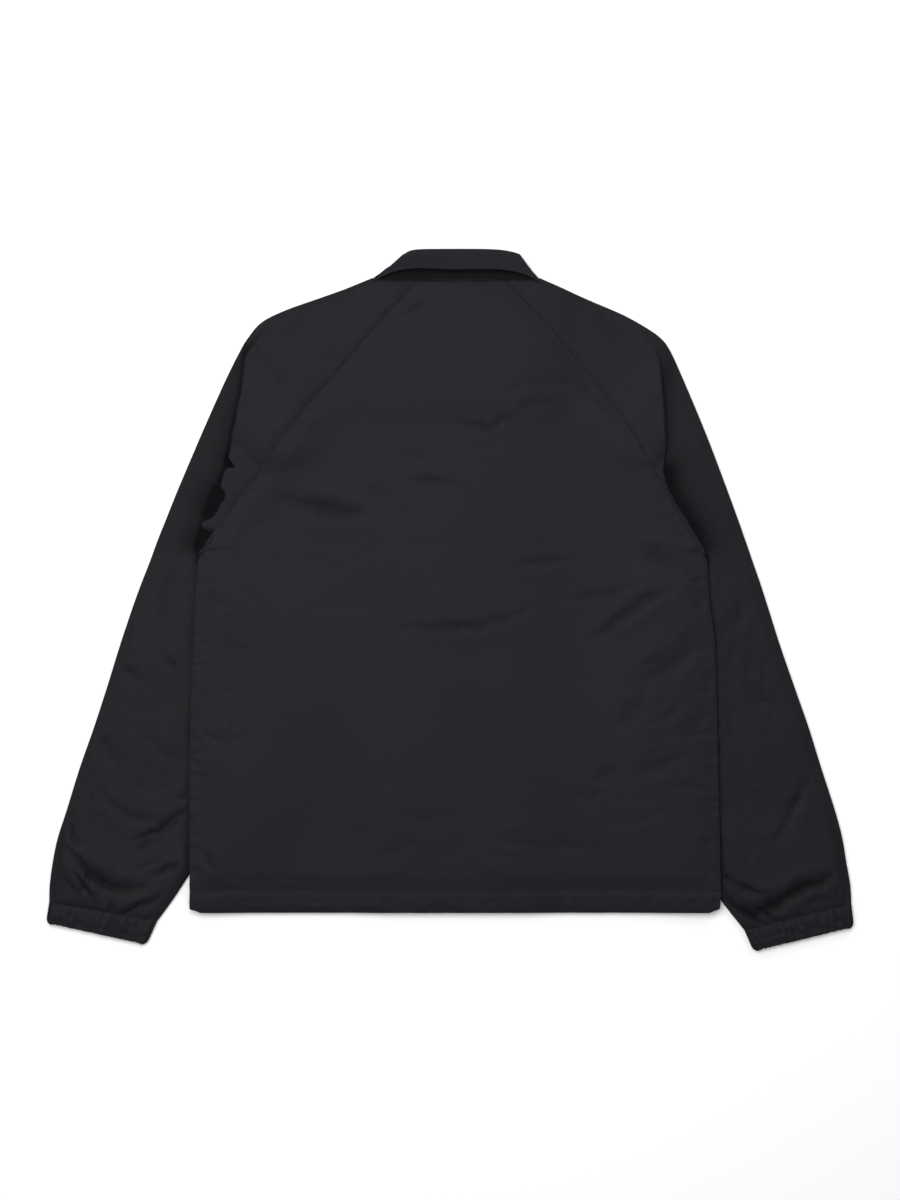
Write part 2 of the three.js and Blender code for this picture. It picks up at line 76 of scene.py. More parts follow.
softbox("overhead", (-0.4, 0.5, 2.15), 1.8, 45)
softbox("collar_side", (0.9, 2.2, 1.3), 1.2, 14)

world = bpy.data.worlds.new("studio")
world.use_nodes = True
world.node_tree.nodes["Background"].inputs["Color"].default_value = (1, 1, 1, 1)
world.node_tree.nodes["Background"].inputs["Strength"].default_value = 0.5
bpy.context.scene.world = world
bpy.context.scene.view_settings.view_transform = "Standard"

camera_data = bpy.data.cameras.new("camera")
camera_data.lens = LENS * 1000
camera_data.sensor_fit = "AUTO"
camera_data.sensor_width = SENSOR * 1000
camera = bpy.data.objects.new("camera", camera_data)
camera.location = (0, 0, VIEW_HEIGHT * LENS / SENSOR)
bpy.context.collection.objects.link(camera)
bpy.context.scene.camera = camera

# The back: one panel of black nylon, cut to the two raglan seams, the side seams and the hem casing. It lies
# on the fronts, and at its sides on the sleeves too, and keeps the creases of the way the jacket was laid.
# Sizes here and below are in millimetres, on the frame's axes.
MM = 0.001
CLOTH = 2.2
CASING = 3.0
LAYER_GAP = 0.4
LAYER = CLOTH + LAYER_GAP
SEAM_GAP = 0.3
SKIN = 1.0  # shown cloth, the outer part of the frame's wall
FOLD_RADIUS = LAYER / 2
CENTRE = 5
OVERLAP = 15
HEM_SEAM = -318
HEM_EDGE = -343.2
HEM_CORNER_IN = 12
HEM_CORNER_UP = 5
NECK_X, NECK_Y, NECK_HALF, NECK_SAG, NECK_DROP = 6.5, 353, 90, 4.5, 94.5
NECK_TUCK = 0.8  # the cloth runs on a little way into the neck seam
CAP_FADE = 70
GRAIN = 2.9  # spacing of the cloth's points
BACK_COLUMNS = 187
NECK_RISE_X, NECK_RISE_Y = (100, 140), (187, 226)  # where the body sinks off the collar's front
LAP_FADE, LAP_TOP = (60, 130), (262, 320)  # where the back sinks off the fronts' overlap
ARM_NEAR, FRONT_FADE, BACK_FADE = 4, 24, 120  # how far past an arm's inner edge a panel sinks off it
FOLD_TURN, FOLD_DEPTH = 7, 8  # columns of the raglan table

# side of the body below the armpit: y, left x, right x
SIDE = np.array([
    (44, -276.1, 281.6), (0, -279.4, 284.4), (-44, -281.6, 290.4), (-132, -284.9, 292.9),
    (-220, -285.5, 294.8), (-318, -285.5, 297), (-344, -286, 296)], float)

# raglan sections: back seam x, y, outer edge x, y, front seam x, y, and the fold's place in from the edge,
# turn in degrees and depth
RAGLAN = {
    "left": np.array([
        (-37.4, 349, -86.3, 352.6, -68, 299.3, 16, 0, 0),
        (-55, 330, -115.5, 341, -79, 286, 16, 0, 0),
        (-72.6, 312.4, -145.2, 330.6, -90, 270, 16, 0, 0),
        (-104.5, 275, -181.5, 317.9, -108, 245, 16, 0, 0),
        (-132, 243.1, -206.8, 305.3, -128, 218, 14, 6, 0),
        (-151.8, 220, -221.1, 289.3, -146, 195, 12, 35, 0),
        (-168.3, 199.1, -230.5, 273.9, -162, 176, 10, 90, 0),
        (-184.8, 178.2, -246.4, 242, -180, 156, 24, 120, 0),
        (-206.8, 145.2, -266.2, 198, -205, 128, 35, 180, 8),
        (-223.3, 123.2, -280.5, 165, -224, 108, 40, 180, 11),
        (-239.8, 101.2, -299.2, 121, -241, 90, 41, 180, 12),
        (-258.5, 73.7, -312.4, 88, -259, 68, 43.5, 180, 5),
        (-269.5, 56.1, -321.2, 66, -269, 53, 46.5, 150, 0)], float),
    "right": np.array([
        (63.8, 349.2, 99.3, 352.6, 81, 299.3, 16, 0, 0),
        (77, 335.5, 121, 343.2, 91, 287, 16, 0, 0),
        (94.6, 316.8, 154, 328.4, 102, 271, 16, 0, 0),
        (123.2, 284.9, 189.2, 313.5, 120, 247, 16, 0, 0),
        (149.6, 254.1, 214.5, 299.8, 142, 219, 16, 0, 0),
        (171.6, 226.6, 231, 288.2, 160, 197, 16, 10, 0),
        (189.2, 203.5, 241.5, 274.5, 176, 178, 20, 50, 0),
        (205.7, 178.2, 256.3, 242, 194, 156, 35, 120, 0),
        (223.9, 145.2, 275, 198, 216, 130, 59, 180, 5),
        (236.5, 123.2, 288.2, 165, 232, 110, 59, 180, 6),
        (248.6, 101.2, 304.7, 121, 247, 91, 52, 180, 5),
        (265.1, 72.6, 316.8, 88, 264, 67, 46.5, 180, 3),
        (275, 55, 324.5, 66, 274, 51, 44.5, 150, 0)], float),
}

# arm sections below the armpit: inner edge x, y, outer edge x, y
ARM = {
    "left": np.array([
        (-280, 46, -330, 41.8),
        (-259.6, 15.4, -339.9, 16.5),
        (-244.2, -13.2, -349.8, -11),
        (-232.1, -55, -363, -50.6),
        (-226.6, -99, -377.3, -96.8),
        (-225.5, -143, -391.6, -140.8),
        (-231, -189.2, -407, -184.8),
        (-244.2, -233.2, -421.3, -231),
        (-264, -270.6, -431.2, -261.8),
        (-284.9, -299.2, -436.7, -288.2),
        (-303.6, -327.8, -440, -313.5),
        (-321.8, -352.8, -440.5, -332)], float),
    "right": np.array([
        (286, 46, 332.8, 41.8),
        (266.2, 15.4, 341.6, 16.5),
        (253, -13.2, 350.4, -11),
        (242, -55, 363, -50.6),
        (236.5, -99, 379, -96.8),
        (235.4, -143, 394.4, -140.8),
        (238.7, -189.2, 408.1, -184.8),
        (248.6, -233.2, 423, -231),
        (264, -270.6, 431.2, -261.8),
        (281.6, -301.4, 435.6, -288.2),
        (298.1, -330, 440, -313.5),
        (323.4, -362.6, 441.1, -334)], float),
}


def smooth(low, high, value):
    t = np.clip((value - low) / (high - low), 0, 1)
    return t * t * (3 - 2 * t)


def spline(rows, place):
    """Rows of a table at fractional places, on a curve through every row."""
    last = len(rows) - 1
    k = np.clip(np.floor(place).astype(int), 0, last - 1)
    t = (place - k)[:, None]
    a, b = rows[k], rows[k + 1]
    before = np.where((k > 0)[:, None], rows[np.maximum(k - 1, 0)], 2 * a - b)
    after = np.where((k + 2 <= last)[:, None], rows[np.minimum(k + 2, last)], 2 * b - a)
    bend = 2 * before - 5 * a + 4 * b - after
    return 0.5 * (2 * a + (b - before) * t + bend * t**2 + (3 * a - before - 3 * b + after) * t**3)


def even_places(points, spacing):
    """Fractional places along a table's points that lie about a spacing apart."""
    lengths = np.hypot(*np.diff(points, axis=0).T)
    travelled = np.concatenate([[0], np.cumsum(lengths)])
    count = max(2, int(round(travelled[-1] / spacing)) + 1)
    return np.interp(np.linspace(0, travelled[-1], count), travelled, np.arange(len(points)))


def read_down(table, column, y):
    """A column of a table whose rows go down the jacket by the y in their first column."""
    return np.interp(-y, -table[:, 0], table[:, column])


def side_x(side, y):
    return read_down(SIDE, 1 if side == "left" else 2, y)


def neck_rise(x, y):
    beside = 1 - smooth(*NECK_RISE_X, np.abs(x - NECK_X))
    return LAYER * beside * smooth(*NECK_RISE_Y, y)


def sleeve_rise(x, y, end=FRONT_FADE):
    rise = np.zeros_like(x)
    for side, sign in (("left", 1), ("right", -1)):
        arm = ARM[side]
        inner = np.interp(-y, -arm[:, 1], arm[:, 0])
        beyond = y > arm[0, 1]
        away = np.where(beyond, np.hypot(x - arm[0, 0], y - arm[0, 1]), (x - inner) * sign)
        here = (x - CENTRE) * sign < 0
        rise = np.where(here, 2 * LAYER * (1 - smooth(ARM_NEAR, end, away)), rise)
    return rise


def cap_drop(turn, depth):
    """Height of the folded cap over the arm, for a fold of so many degrees and so much depth."""
    angle = np.maximum(np.radians(turn), 1e-4)
    radius = math.pi * FOLD_RADIUS / angle
    return 2 * radius * (1 - np.cos(angle)) + (depth + 1) * np.sin(angle)


def waves(x, y, length, seed, count=9):
    """Uneven low waves over the plane, about 1 high, of roughly one length."""
    rng = np.random.default_rng(seed)
    total = np.zeros_like(x)
    for _ in range(count):
        angle, phase = rng.uniform(0, 2 * math.pi), rng.uniform(0, 2 * math.pi)
        stretch = rng.uniform(0.7, 1.6)
        k = 2 * math.pi / (length * stretch)
        total += np.sin(k * (x * math.cos(angle) + y * math.sin(angle)) + phase)
    return total / math.sqrt(count)


def crumple(x, y, length, seed):
    """Crinkles with sharp crests and flat hollows, from bent waves."""
    bent_x = x + 0.35 * length * waves(x, y, length * 1.9, seed + 1)
    bent_y = y + 0.35 * length * waves(x, y, length * 1.9, seed + 2)
    return 1 - np.abs(waves(bent_x, bent_y, length, seed, 7))


class Creases:
    """Creases of pressed cloth. Each is a line of points, a depth, a width, and a share: 0 is a soft trough
    with a ridge on each side, and 1 a sharp fold with the cloth left of the line on top."""

    def __init__(self, lines):
        self.lines = [(np.array(line[0], float), *(*line[1:], 0.35)[:3]) for line in lines]

    def press(self, x, y):
        """How high the creases lift the cloth at each place, and how much shade is painted there."""
        x = x + 1.5 * waves(x, y, 30, 301) + 0.6 * waves(x, y, 11, 302)
        y = y + 1.5 * waves(x, y, 30, 303) + 0.6 * waves(x, y, 11, 304)
        height, painted_shade = np.zeros_like(x), np.zeros_like(x)
        for points, depth, width, fold in self.lines:
            low, high = points.min(axis=0) - 5 * width, points.max(axis=0) + 5 * width
            near = (x > low[0]) & (x < high[0]) & (y > low[1]) & (y < high[1])
            if near.any():
                raised, painted_shade_amount = self.profile(points, width, fold, x[near], y[near])
                height[near] += depth * raised
                painted_shade[near] += depth * painted_shade_amount
        return height, painted_shade

    @staticmethod
    def profile(points, width, fold, x, y):
        lengths = np.hypot(*np.diff(points, axis=0).T)
        best, side, along = np.full(x.shape, 1e9), np.zeros(x.shape), np.zeros(x.shape)
        walked = 0
        for a, b, length in zip(points[:-1], points[1:], lengths):
            ux, uy = (b - a) / length
            t = np.clip(((x - a[0]) * ux + (y - a[1]) * uy) / length, 0, 1)
            dx, dy = x - a[0] - t * length * ux, y - a[1] - t * length * uy
            distance = np.hypot(dx, dy)
            closer = distance < best
            best = np.where(closer, distance, best)
            side = np.where(closer, ux * dy - uy * dx, side)
            along = np.where(closer, (walked + t * length) / lengths.sum(), along)
            walked += length
        ends = np.sin(np.pi * np.clip(along * 0.94 + 0.03, 0, 1)) ** 0.7
        width = width * (0.55 + 0.45 * ends)
        trough = 0.35 * np.exp(-((best - 2.1 * width) / (1.4 * width)) ** 2) - np.exp(-(best / width) ** 2)
        signed = np.sign(side) * best
        step = np.tanh(signed / 1.6) * np.exp(-best / (1.5 * width)) - 0.3 * np.exp(-(best / 2.2) ** 2)
        # the second value is painted shade along the crease, reaching further on its low side
        low_side = np.where(side < 0, best, 1.8 * best)
        return ends * ((1 - fold) * trough + fold * step), ends * np.exp(-(low_side / (1.15 * width)) ** 2)


BODY_CREASES = [
    ([(-182, 112), (-150, 105), (-128, 99), (-90, 96)], 3.6, 9, 0.1),
    ([(-112, 121), (-84, 117), (-55, 119)], 1.1, 8, 0.1),
    ([(-44, 134), (-20, 132), (4, 131)], 2.4, 4.5, 0.4),
    ([(-62, 160), (-40, 157), (-20, 154)], 0.9, 6, 0.2),
    ([(74, 200), (44, 189), (24, 188), (5, 195)], 2.6, 4.5, 0.55),
    ([(60, 232), (96, 241), (132, 242), (165, 232), (192, 209)], 1.5, 7, 0.2),
    ([(72, 206), (96, 216), (120, 220)], 1.0, 6, 0.2),
    ([(90, -11), (60, -22), (33, -30), (-10, -33), (-58, -33)], 2.7, 5.5, 0.45),
    ([(209, 16), (184, 8), (154, 2), (120, 0)], 2.0, 5, 0.4),
    ([(134, 43), (100, 41), (70, 34)], 2.0, 5, 0.3),
    ([(247, 12), (226, 3), (209, -5), (187, -22), (165, -38), (148, -46)], 3.6, 5.5, 0.5),
    ([(262, 32), (236, 40), (204, 60)], 1.6, 10, 0),
    ([(281, 25), (268, 29), (258, 33)], 2.4, 3.2, 0.6),
    ([(220, 58), (232, 50), (246, 42)], 1.2, 12, 0),
    ([(278, -46), (237, -75), (203, -97)], 2.0, 11, 0.1),
    ([(270, -40), (252, -50), (236, -58)], 1.2, 4, 0.5),
    ([(238, -70), (222, -69), (204, -75)], 1.2, 4, 0.5),
    ([(212, -108), (198, -128), (186, -142)], 1.4, 10, 0.1),
    ([(278, -123), (268, -140), (258, -156)], 1.5, 10, 0.1),
    ([(266, -169), (233, -182), (205, -193)], 1.9, 8, 0.3),
    ([(186, -188), (172, -194), (156, -199)], 1.3, 9, 0.1),
    ([(290, -151), (276, -150), (264, -153)], 1.4, 3.5, 0.5),
    ([(288, -212), (266, -206), (240, -208)], 1.2, 5, 0.4),
    ([(252, -120), (236, -132), (214, -140)], 0.9, 5, 0.4),
    ([(-23, 326), (-40, 321), (-57, 316)], 1.9, 4, 0.4),
    ([(259, 77), (248, 84), (236, 90)], 1.6, 3.5, 0.5),
    ([(-276, -273), (-264, -286), (-252, -296)], 1.8, 4.5, 0.5),
    ([(-253, -302), (-210, -306), (-165, -305)], 1.1, 5, 0.4),
    ([(130, -214), (155, -216), (178, -210)], 0.9, 8, 0.2),
    ([(-262, -30), (-240, -48), (-226, -72)], 1.1, 7, 0.4),
    ([(-276, 12), (-256, -2), (-238, -8)], 1.3, 5, 0.4),
    ([(-150, -8), (-120, -4), (-98, -8)], 0.9, 7, 0.2),
    ([(-276, -140), (-262, -150), (-240, -152)], 1.2, 5, 0.4),
    ([(60, -262), (110, -270), (150, -266)], 0.9, 9, 0.2),
    ([(-80, -230), (-30, -238), (20, -232)], 0.8, 10, 0.2),
]


def scattered(seed, count, low, high, aim, depth, width, length):
    """Small creases spread over a box, that point roughly at one place."""
    rng = np.random.default_rng(seed)
    lines = []
    for _ in range(count):
        centre = rng.uniform(low, high)
        turn = math.atan2(aim[1] - centre[1], aim[0] - centre[0]) + rng.normal(0, 0.35)
        half = rng.uniform(0.5, 1) * length / 2
        step = np.array((math.cos(turn), math.sin(turn))) * half
        bow = np.array((-step[1], step[0])) * rng.uniform(-0.25, 0.25)
        size = rng.uniform(0.45, 1)
        line = [centre - step, centre + bow, centre + step]
        lines.append((line, depth * size, width * rng.uniform(0.7, 1.2), rng.uniform(0.1, 0.8)))
    return lines


def puckers(side, low, high, depth, seed):
    """Short creases that run in from a side seam, where its stitches draw the cloth together."""
    rng = np.random.default_rng(seed)
    inwards = 1 if side == "left" else -1
    lines, y = [], low
    while y < high:
        start = side_x(side, y) + inwards * 3
        length, rise = rng.uniform(6, 22), rng.uniform(-4, 5)
        line = [(start, y), (start + inwards * length, y + rise)]
        lines.append((line, depth * rng.uniform(0.3, 1) ** 1.5, rng.uniform(2.4, 4), rng.uniform(0.3, 0.7)))
        y += rng.uniform(8, 34)
    return lines


seam_puckers = Creases(puckers("left", -300, 40, 1.5, 31) + puckers("right", -300, 90, 2.6, 32))
BODY_CREASES += scattered(11, 40, (160, -235), (284, -20), (300, 20), 0.8, 3.6, 30)
BODY_CREASES += scattered(12, 30, (-280, -300), (-215, 60), (-150, -60), 0.8, 4.5, 34)
BODY_CREASES += scattered(13, 26, (-180, -310), (250, -230), (600, -240), 0.6, 6, 60)
BODY_CREASES += scattered(14, 22, (-150, 0), (170, 300), (500, 200), 0.5, 7, 60)
back_creases = Creases(BODY_CREASES)


def skin(name, middle, facing, outer, closed=False, painted_shade=None):
    """A thin closed shell beside a grid of middle points. Its outer face lies outer from the middle.
    Painted shade, from 0 to 1, darkens the cloth where it lies deep in a crease or under other cloth."""
    across = np.roll(middle, -1, 1) - np.roll(middle, 1, 1)
    if not closed:
        across[:, 0], across[:, -1] = middle[:, 1] - middle[:, 0], middle[:, -1] - middle[:, -2]
    down = np.gradient(middle, axis=0)
    normal = np.cross(down, across)
    size = np.linalg.norm(normal, axis=2, keepdims=True)
    normal = np.where(size > 1e-9, normal / np.maximum(size, 1e-9), facing)
    sign = 1.0 if np.sum(normal * facing) > 0 else -1.0
    normal *= sign
    rows, columns = middle.shape[:2]
    points = np.concatenate([(middle + normal * away).reshape(-1, 3) for away in (outer, outer - SKIN)])
    index = np.arange(rows * columns).reshape(rows, columns)
    if closed:
        index = np.concatenate([index, index[:, :1]], axis=1)
    a, b, c, d = (part.ravel() for part in (index[:-1, :-1], index[1:, :-1], index[1:, 1:], index[:-1, 1:]))
    low = rows * columns
    faces = [np.stack([a, b, c, d], 1), np.stack([a, d, c, b], 1) + low]
    edges = [(index[0, :-1], index[0, 1:]), (index[-1, 1:], index[-1, :-1])]
    if not closed:
        edges += [(index[1:, 0], index[:-1, 0]), (index[:-1, -1], index[1:, -1])]
    faces += [np.stack([p, q, q + low, p + low], 1) for p, q in edges]
    quads = np.concatenate(faces)
    if sign < 0:
        quads = quads[:, ::-1]
    mesh = bpy.data.meshes.new(f"{name}_cloth")
    mesh.from_pydata((points * MM).tolist(), [], quads.tolist())
    mesh.polygons.foreach_set("use_smooth", np.ones(len(mesh.polygons), bool))
    border = np.zeros((rows, columns), bool)
    border[[0, -1]] = True
    if not closed:
        border[:, [0, -1]] = True
    border = np.tile(border.ravel(), 2)
    ends = np.array([edge.vertices[:] for edge in mesh.edges])
    rim = border[ends].all(axis=1) & ((ends[:, 0] < low) == (ends[:, 1] < low))
    mesh.attributes.new("sharp_edge", "BOOLEAN", "EDGE").data.foreach_set("value", rim)
    # painted shade for each point, kept on the mesh for the nylon's shader
    painted_shade_amount = np.zeros((rows, columns)) if painted_shade is None else np.clip(painted_shade, 0, 1)
    painted_shade_amount = np.tile(painted_shade_amount.ravel(), 2).astype(np.float32)
    mesh.attributes.new("painted_shade", "FLOAT", "POINT").data.foreach_set("value", painted_shade_amount)
    mesh.update()
    piece = bpy.data.objects.new(f"{name}_cloth", mesh)
    bpy.context.collection.objects.link(piece)
    return piece


def back_rows(spacing):
    """Left and right end of each row of the back, down both raglan seams and both sides."""
    armpit = {"left": SIDE[0, [1, 0]], "right": SIDE[0, [2, 0]]}
    tables = {side: np.vstack([RAGLAN[side][:, :2], armpit[side]]) for side in armpit}
    place = even_places(tables["left"], spacing)
    y = np.append(np.arange(SIDE[0, 0] - spacing, HEM_SEAM, -spacing), HEM_SEAM)
    lower = {side: np.stack([side_x(side, y), y], 1) for side in tables}
    return {side: np.vstack([spline(tables[side], place), lower[side]]) for side in tables}, place


def grid_between(left, right, columns):
    t = np.linspace(0, 1, columns)[None, :, None]
    return left[:, None] * (1 - t) + right[:, None] * t


def back_neck(x):
    share = np.clip(np.abs(x - NECK_X) / NECK_HALF, 0, 1)
    return NECK_Y - NECK_SAG * np.sqrt(1 - share**2) - SEAM_GAP


UP = np.array((0.0, 0.0, 1.0))

rows, place = back_rows(GRAIN)
flat = grid_between(rows["left"], rows["right"], BACK_COLUMNS)
x, y = flat[..., 0], flat[..., 1].copy()
y[0] = back_neck(x[0]) + NECK_TUCK
caps = []
for side, inwards in (("left", x - x[:, :1]), ("right", x[:, -1:] - x)):
    fold = spline(RAGLAN[side], np.minimum(place, len(RAGLAN[side]) - 1))
    fading = np.clip(len(RAGLAN[side]) - place, 0, 1)
    drop = np.zeros((len(x), 1))
    drop[: len(place), 0] = cap_drop(fold[:, FOLD_TURN], fold[:, FOLD_DEPTH]) * fading
    caps.append(drop * (1 - smooth(0, CAP_FADE, inwards)))
closing = (1 - smooth(*LAP_FADE, np.abs(x - CENTRE))) * (1 - smooth(*LAP_TOP, y))
z = CLOTH / 2 + LAYER * (1 + closing) + neck_rise(x, y)
z += np.maximum(sleeve_rise(x, y, BACK_FADE), np.maximum(*caps))
to_edge = np.minimum(x - x[:, :1], x[:, -1:] - x)
to_end = np.minimum(np.abs(y[:1] - y), np.abs(y - HEM_SEAM))
loose = smooth(0, 26, to_edge) * smooth(0, 18, to_end)
seam_dip = 1 - smooth(0, 2.6, np.minimum(to_edge, to_end))
pressed, painted_shade_amount = back_creases.press(x, y)
lively = 0.2 + 0.6 * smooth(90, 0, y) * np.maximum(smooth(120, 230, x), 1 - smooth(20, 90, to_edge))
z += loose * (1.6 + 0.35 * waves(x, y, 120, 3) + 0.75 * pressed + 0.22 * lively * crumple(x, y, 30, 5))
pulled = 0.35 * seam_dip * np.clip(0.4 + 0.5 * waves(x, y, 60, 12), 0.05, 1)
z += 0.16 * lively * smooth(0, 6, to_edge) * crumple(x, y, 15, 8) - pulled
z += 1.5 * np.exp(-to_edge / 8) * smooth(0, 3, to_edge) * crumple(0.3 * x, y, 10, 9)
z += 0.7 * smooth(0, 5, to_edge) * smooth(0, 18, to_end) * seam_puckers.press(x, y)[0]
back_surface = np.stack([x, y, z], 2)
# painted shade in the back's creases
back = skin("back", back_surface, UP, CLOTH / 2, painted_shade=0.11 * np.clip(loose * painted_shade_amount - 0.3, 0, 4))


class Value:
    """A shader socket that takes part in sums, each of which adds a Math node."""

    def __init__(self, tree, socket):
        self.tree, self.socket = tree, socket

    def combine(self, operation, first, second):
        maths = self.tree.nodes.new("ShaderNodeMath")
        maths.operation = operation
        for place, value in enumerate((first, second)):
            if isinstance(value, Value):
                self.tree.links.new(value.socket, maths.inputs[place])
            else:
                maths.inputs[place].default_value = value
        return Value(self.tree, maths.outputs[0])

    def __add__(self, other):
        return self.combine("ADD", self, other)

    def __radd__(self, other):
        return self.combine("ADD", other, self)

    def __sub__(self, other):
        return self.combine("SUBTRACT", self, other)

    def __rsub__(self, other):
        return self.combine("SUBTRACT", other, self)

    def __mul__(self, other):
        return self.combine("MULTIPLY", self, other)

    def __rmul__(self, other):
        return self.combine("MULTIPLY", other, self)


class Finish:
    """A material whose nodes are added one by one."""

    def __init__(self, name):
        self.material = bpy.data.materials.new(name)
        self.material.use_nodes = True
        self.tree = self.material.node_tree
        self.shader = self.tree.nodes["Principled BSDF"]

    def node(self, kind, settings=None, inputs=None, output=0):
        made = self.tree.nodes.new(kind)
        for key, value in (settings or {}).items():
            setattr(made, key, value)
        for key, value in (inputs or {}).items():
            if isinstance(value, Value):
                self.tree.links.new(value.socket, made.inputs[key])
            else:
                made.inputs[key].default_value = value
        return Value(self.tree, made.outputs[output])

    def mix(self, share, other):
        """Another shader takes the place of this one by a share."""
        blend = self.tree.nodes.new("ShaderNodeMixShader")
        self.tree.links.new(share.socket, blend.inputs[0])
        self.tree.links.new(self.shader.outputs[0], blend.inputs[1])
        self.tree.links.new(other.socket, blend.inputs[2])
        self.tree.links.new(blend.outputs[0], self.tree.nodes["Material Output"].inputs["Surface"])

    def feed(self, socket, value):
        if isinstance(value, Value):
            self.tree.links.new(value.socket, self.shader.inputs[socket])
        else:
            self.shader.inputs[socket].default_value = value


def nylon(name, dark, light, roughness, specular, crinkle=0.35):
    """Black nylon: a plain weave with a low sheen, uneven in tone, with fine crinkles that never press out, and
    with painted shade mixed in.
    """
    made = Finish(name)
    place = made.node("ShaderNodeTexCoord", output="Object")
    patches = made.node("ShaderNodeTexNoise", None,
                        {"Vector": place, "Scale": 11.0, "Detail": 3.0, "Roughness": 0.6})
    grain = made.node("ShaderNodeTexNoise", None, {"Vector": place, "Scale": 420.0, "Detail": 2.0})
    tone = patches * 0.75 + grain * 0.25
    shades = {0: tone, 6: (*dark, 1), 7: (*light, 1)}
    colour = made.node("ShaderNodeMix", {"data_type": "RGBA"}, shades, output=2)
    made.feed("Base Color", colour)
    made.feed("Roughness", roughness - 0.06 + 0.12 * patches)
    made.feed("Specular IOR Level", specular)
    weave = {"Vector": place, "Scale": 300.0, "Distortion": 0.6}
    warp = made.node("ShaderNodeTexWave", {"bands_direction": "X"}, weave)
    weft = made.node("ShaderNodeTexWave", {"bands_direction": "Y"}, weave)
    wrinkle = made.node("ShaderNodeTexNoise", {"noise_type": "RIDGED_MULTIFRACTAL"},
                        {"Vector": place, "Scale": 62.0, "Detail": 3.0, "Roughness": 0.55, "Distortion": 0.4})
    surface = wrinkle * crinkle + (warp + weft) * 0.04
    bump = made.node("ShaderNodeBump", None, {"Strength": 0.5, "Distance": 0.0006, "Height": surface})
    made.feed("Normal", bump)
    # painted shade: by each point's shade value a near-black matt diffuse takes the place of the nylon,
    # darkening creases, folds and gaps where shade falls
    painted_shade = made.node("ShaderNodeAttribute", {"attribute_name": "painted_shade"}, output=2)
    painted_shade_black = made.node("ShaderNodeBsdfDiffuse", None, {"Color": (0.0034, 0.0029, 0.0038, 1)})
    painted_shade_amount = painted_shade * 0.9 + painted_shade * (patches - 0.5) * 0.5
    made.mix(painted_shade_amount, painted_shade_black)
    return made.material


shell = nylon("black_nylon", (0.0068, 0.0063, 0.0086), (0.01, 0.0093, 0.0122), 0.6, 0.1)
back.data.materials.append(shell)
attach(back, "root")
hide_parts("back_panel")

# The fronts: two panels of the same nylon that face the floor. They overlap at the centre, where the left one
# lies outermost, and the sleeves' arms are tucked under their sides.
FRONT_SEAM_ANGLE = math.radians(34.5)
LAP_CLEAR, LAP_END = 3, 18
SIDE_GAP = 0.25
FRONT_GRAIN = 5


def neck_bow(place, angle_from, angle_to, t):
    """How far a row near the neck follows its curve instead of running straight."""
    share = np.interp(place, (0, 1, 2, 3), (1, 0.5, 0.2, 0))[:, None]
    angle = angle_from + (angle_to - angle_from) * t
    x_from, x_to = -NECK_HALF * math.cos(angle_from), -NECK_HALF * math.cos(angle_to)
    y_from, y_to = -NECK_DROP * math.sin(angle_from), -NECK_DROP * math.sin(angle_to)
    x = -NECK_HALF * np.cos(angle) - (x_from + (x_to - x_from) * t)
    y = -NECK_DROP * np.sin(angle) - (y_from + (y_to - y_from) * t)
    return share * x, share * y


def centre_edge(side):
    return CENTRE + OVERLAP if side == "left" else CENTRE - OVERLAP


def front_height(side, x, y, thickness):
    past = x - CENTRE - OVERLAP
    lap = (1 - smooth(LAP_CLEAR, LAP_END, past)) if side == "right" else 0
    return thickness / 2 + neck_rise(x, y) + sleeve_rise(x, y) + (thickness + LAYER_GAP) * lap


def front(side, seed):
    sign = 1 if side == "left" else -1
    edge = centre_edge(side)
    angle = math.acos(sign * (NECK_X - edge) / NECK_HALF)
    top = NECK_Y - NECK_DROP * math.sin(angle)
    outer = np.vstack([RAGLAN[side][:, 4:6], (side_x(side, SIDE[0, 0]), SIDE[0, 0])])
    share = (outer[0, 1] - outer[:, 1]) / (outer[0, 1] - SIDE[0, 0])
    inner = np.stack([np.full(len(outer), edge), top + (SIDE[0, 0] - top) * share], 1)
    place = even_places(outer, FRONT_GRAIN)
    low = np.append(np.arange(SIDE[0, 0] - FRONT_GRAIN, HEM_SEAM, -FRONT_GRAIN), HEM_SEAM)
    outer_edge = np.vstack([spline(outer, place), np.stack([side_x(side, low), low], 1)])
    outer_edge += (sign * SIDE_GAP, 0)
    inner_edge = np.vstack([spline(inner, place), np.stack([np.full(len(low), edge), low], 1)])
    columns = 62
    flat = grid_between(outer_edge, inner_edge, columns)
    t = np.linspace(0, 1, columns)[None, :]
    bow_x, bow_y = neck_bow(place, FRONT_SEAM_ANGLE, angle, t)
    flat[: len(place), :, 0] += bow_x * sign
    flat[: len(place), :, 1] += bow_y
    x, y = flat[..., 0], flat[..., 1]
    to_edge = np.minimum(np.abs(x - x[:, :1]), np.abs(x - x[:, -1:]))
    loose = smooth(2, 30, to_edge) * smooth(0, 16, np.minimum(np.abs(y[:1] - y), np.abs(y - HEM_SEAM)))
    z = front_height(side, x, y, CLOTH)
    pressed, _ = back_creases.press(x + 25, y - 18)
    z += loose * (0.9 + 0.35 * waves(x, y, 110, seed) + 0.25 * crumple(x, y, 46, seed + 4) + 0.45 * pressed)
    z = np.maximum(z, CLOTH / 2)
    return skin(f"front_{side}", np.stack([x, y, z], 2), -UP, CLOTH / 2)


for side, seed in (("left", 31), ("right", 51)):
    panel = front(side, seed)
    panel.data.materials.append(shell)
    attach(panel, "root")
    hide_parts(f"front_{side}")


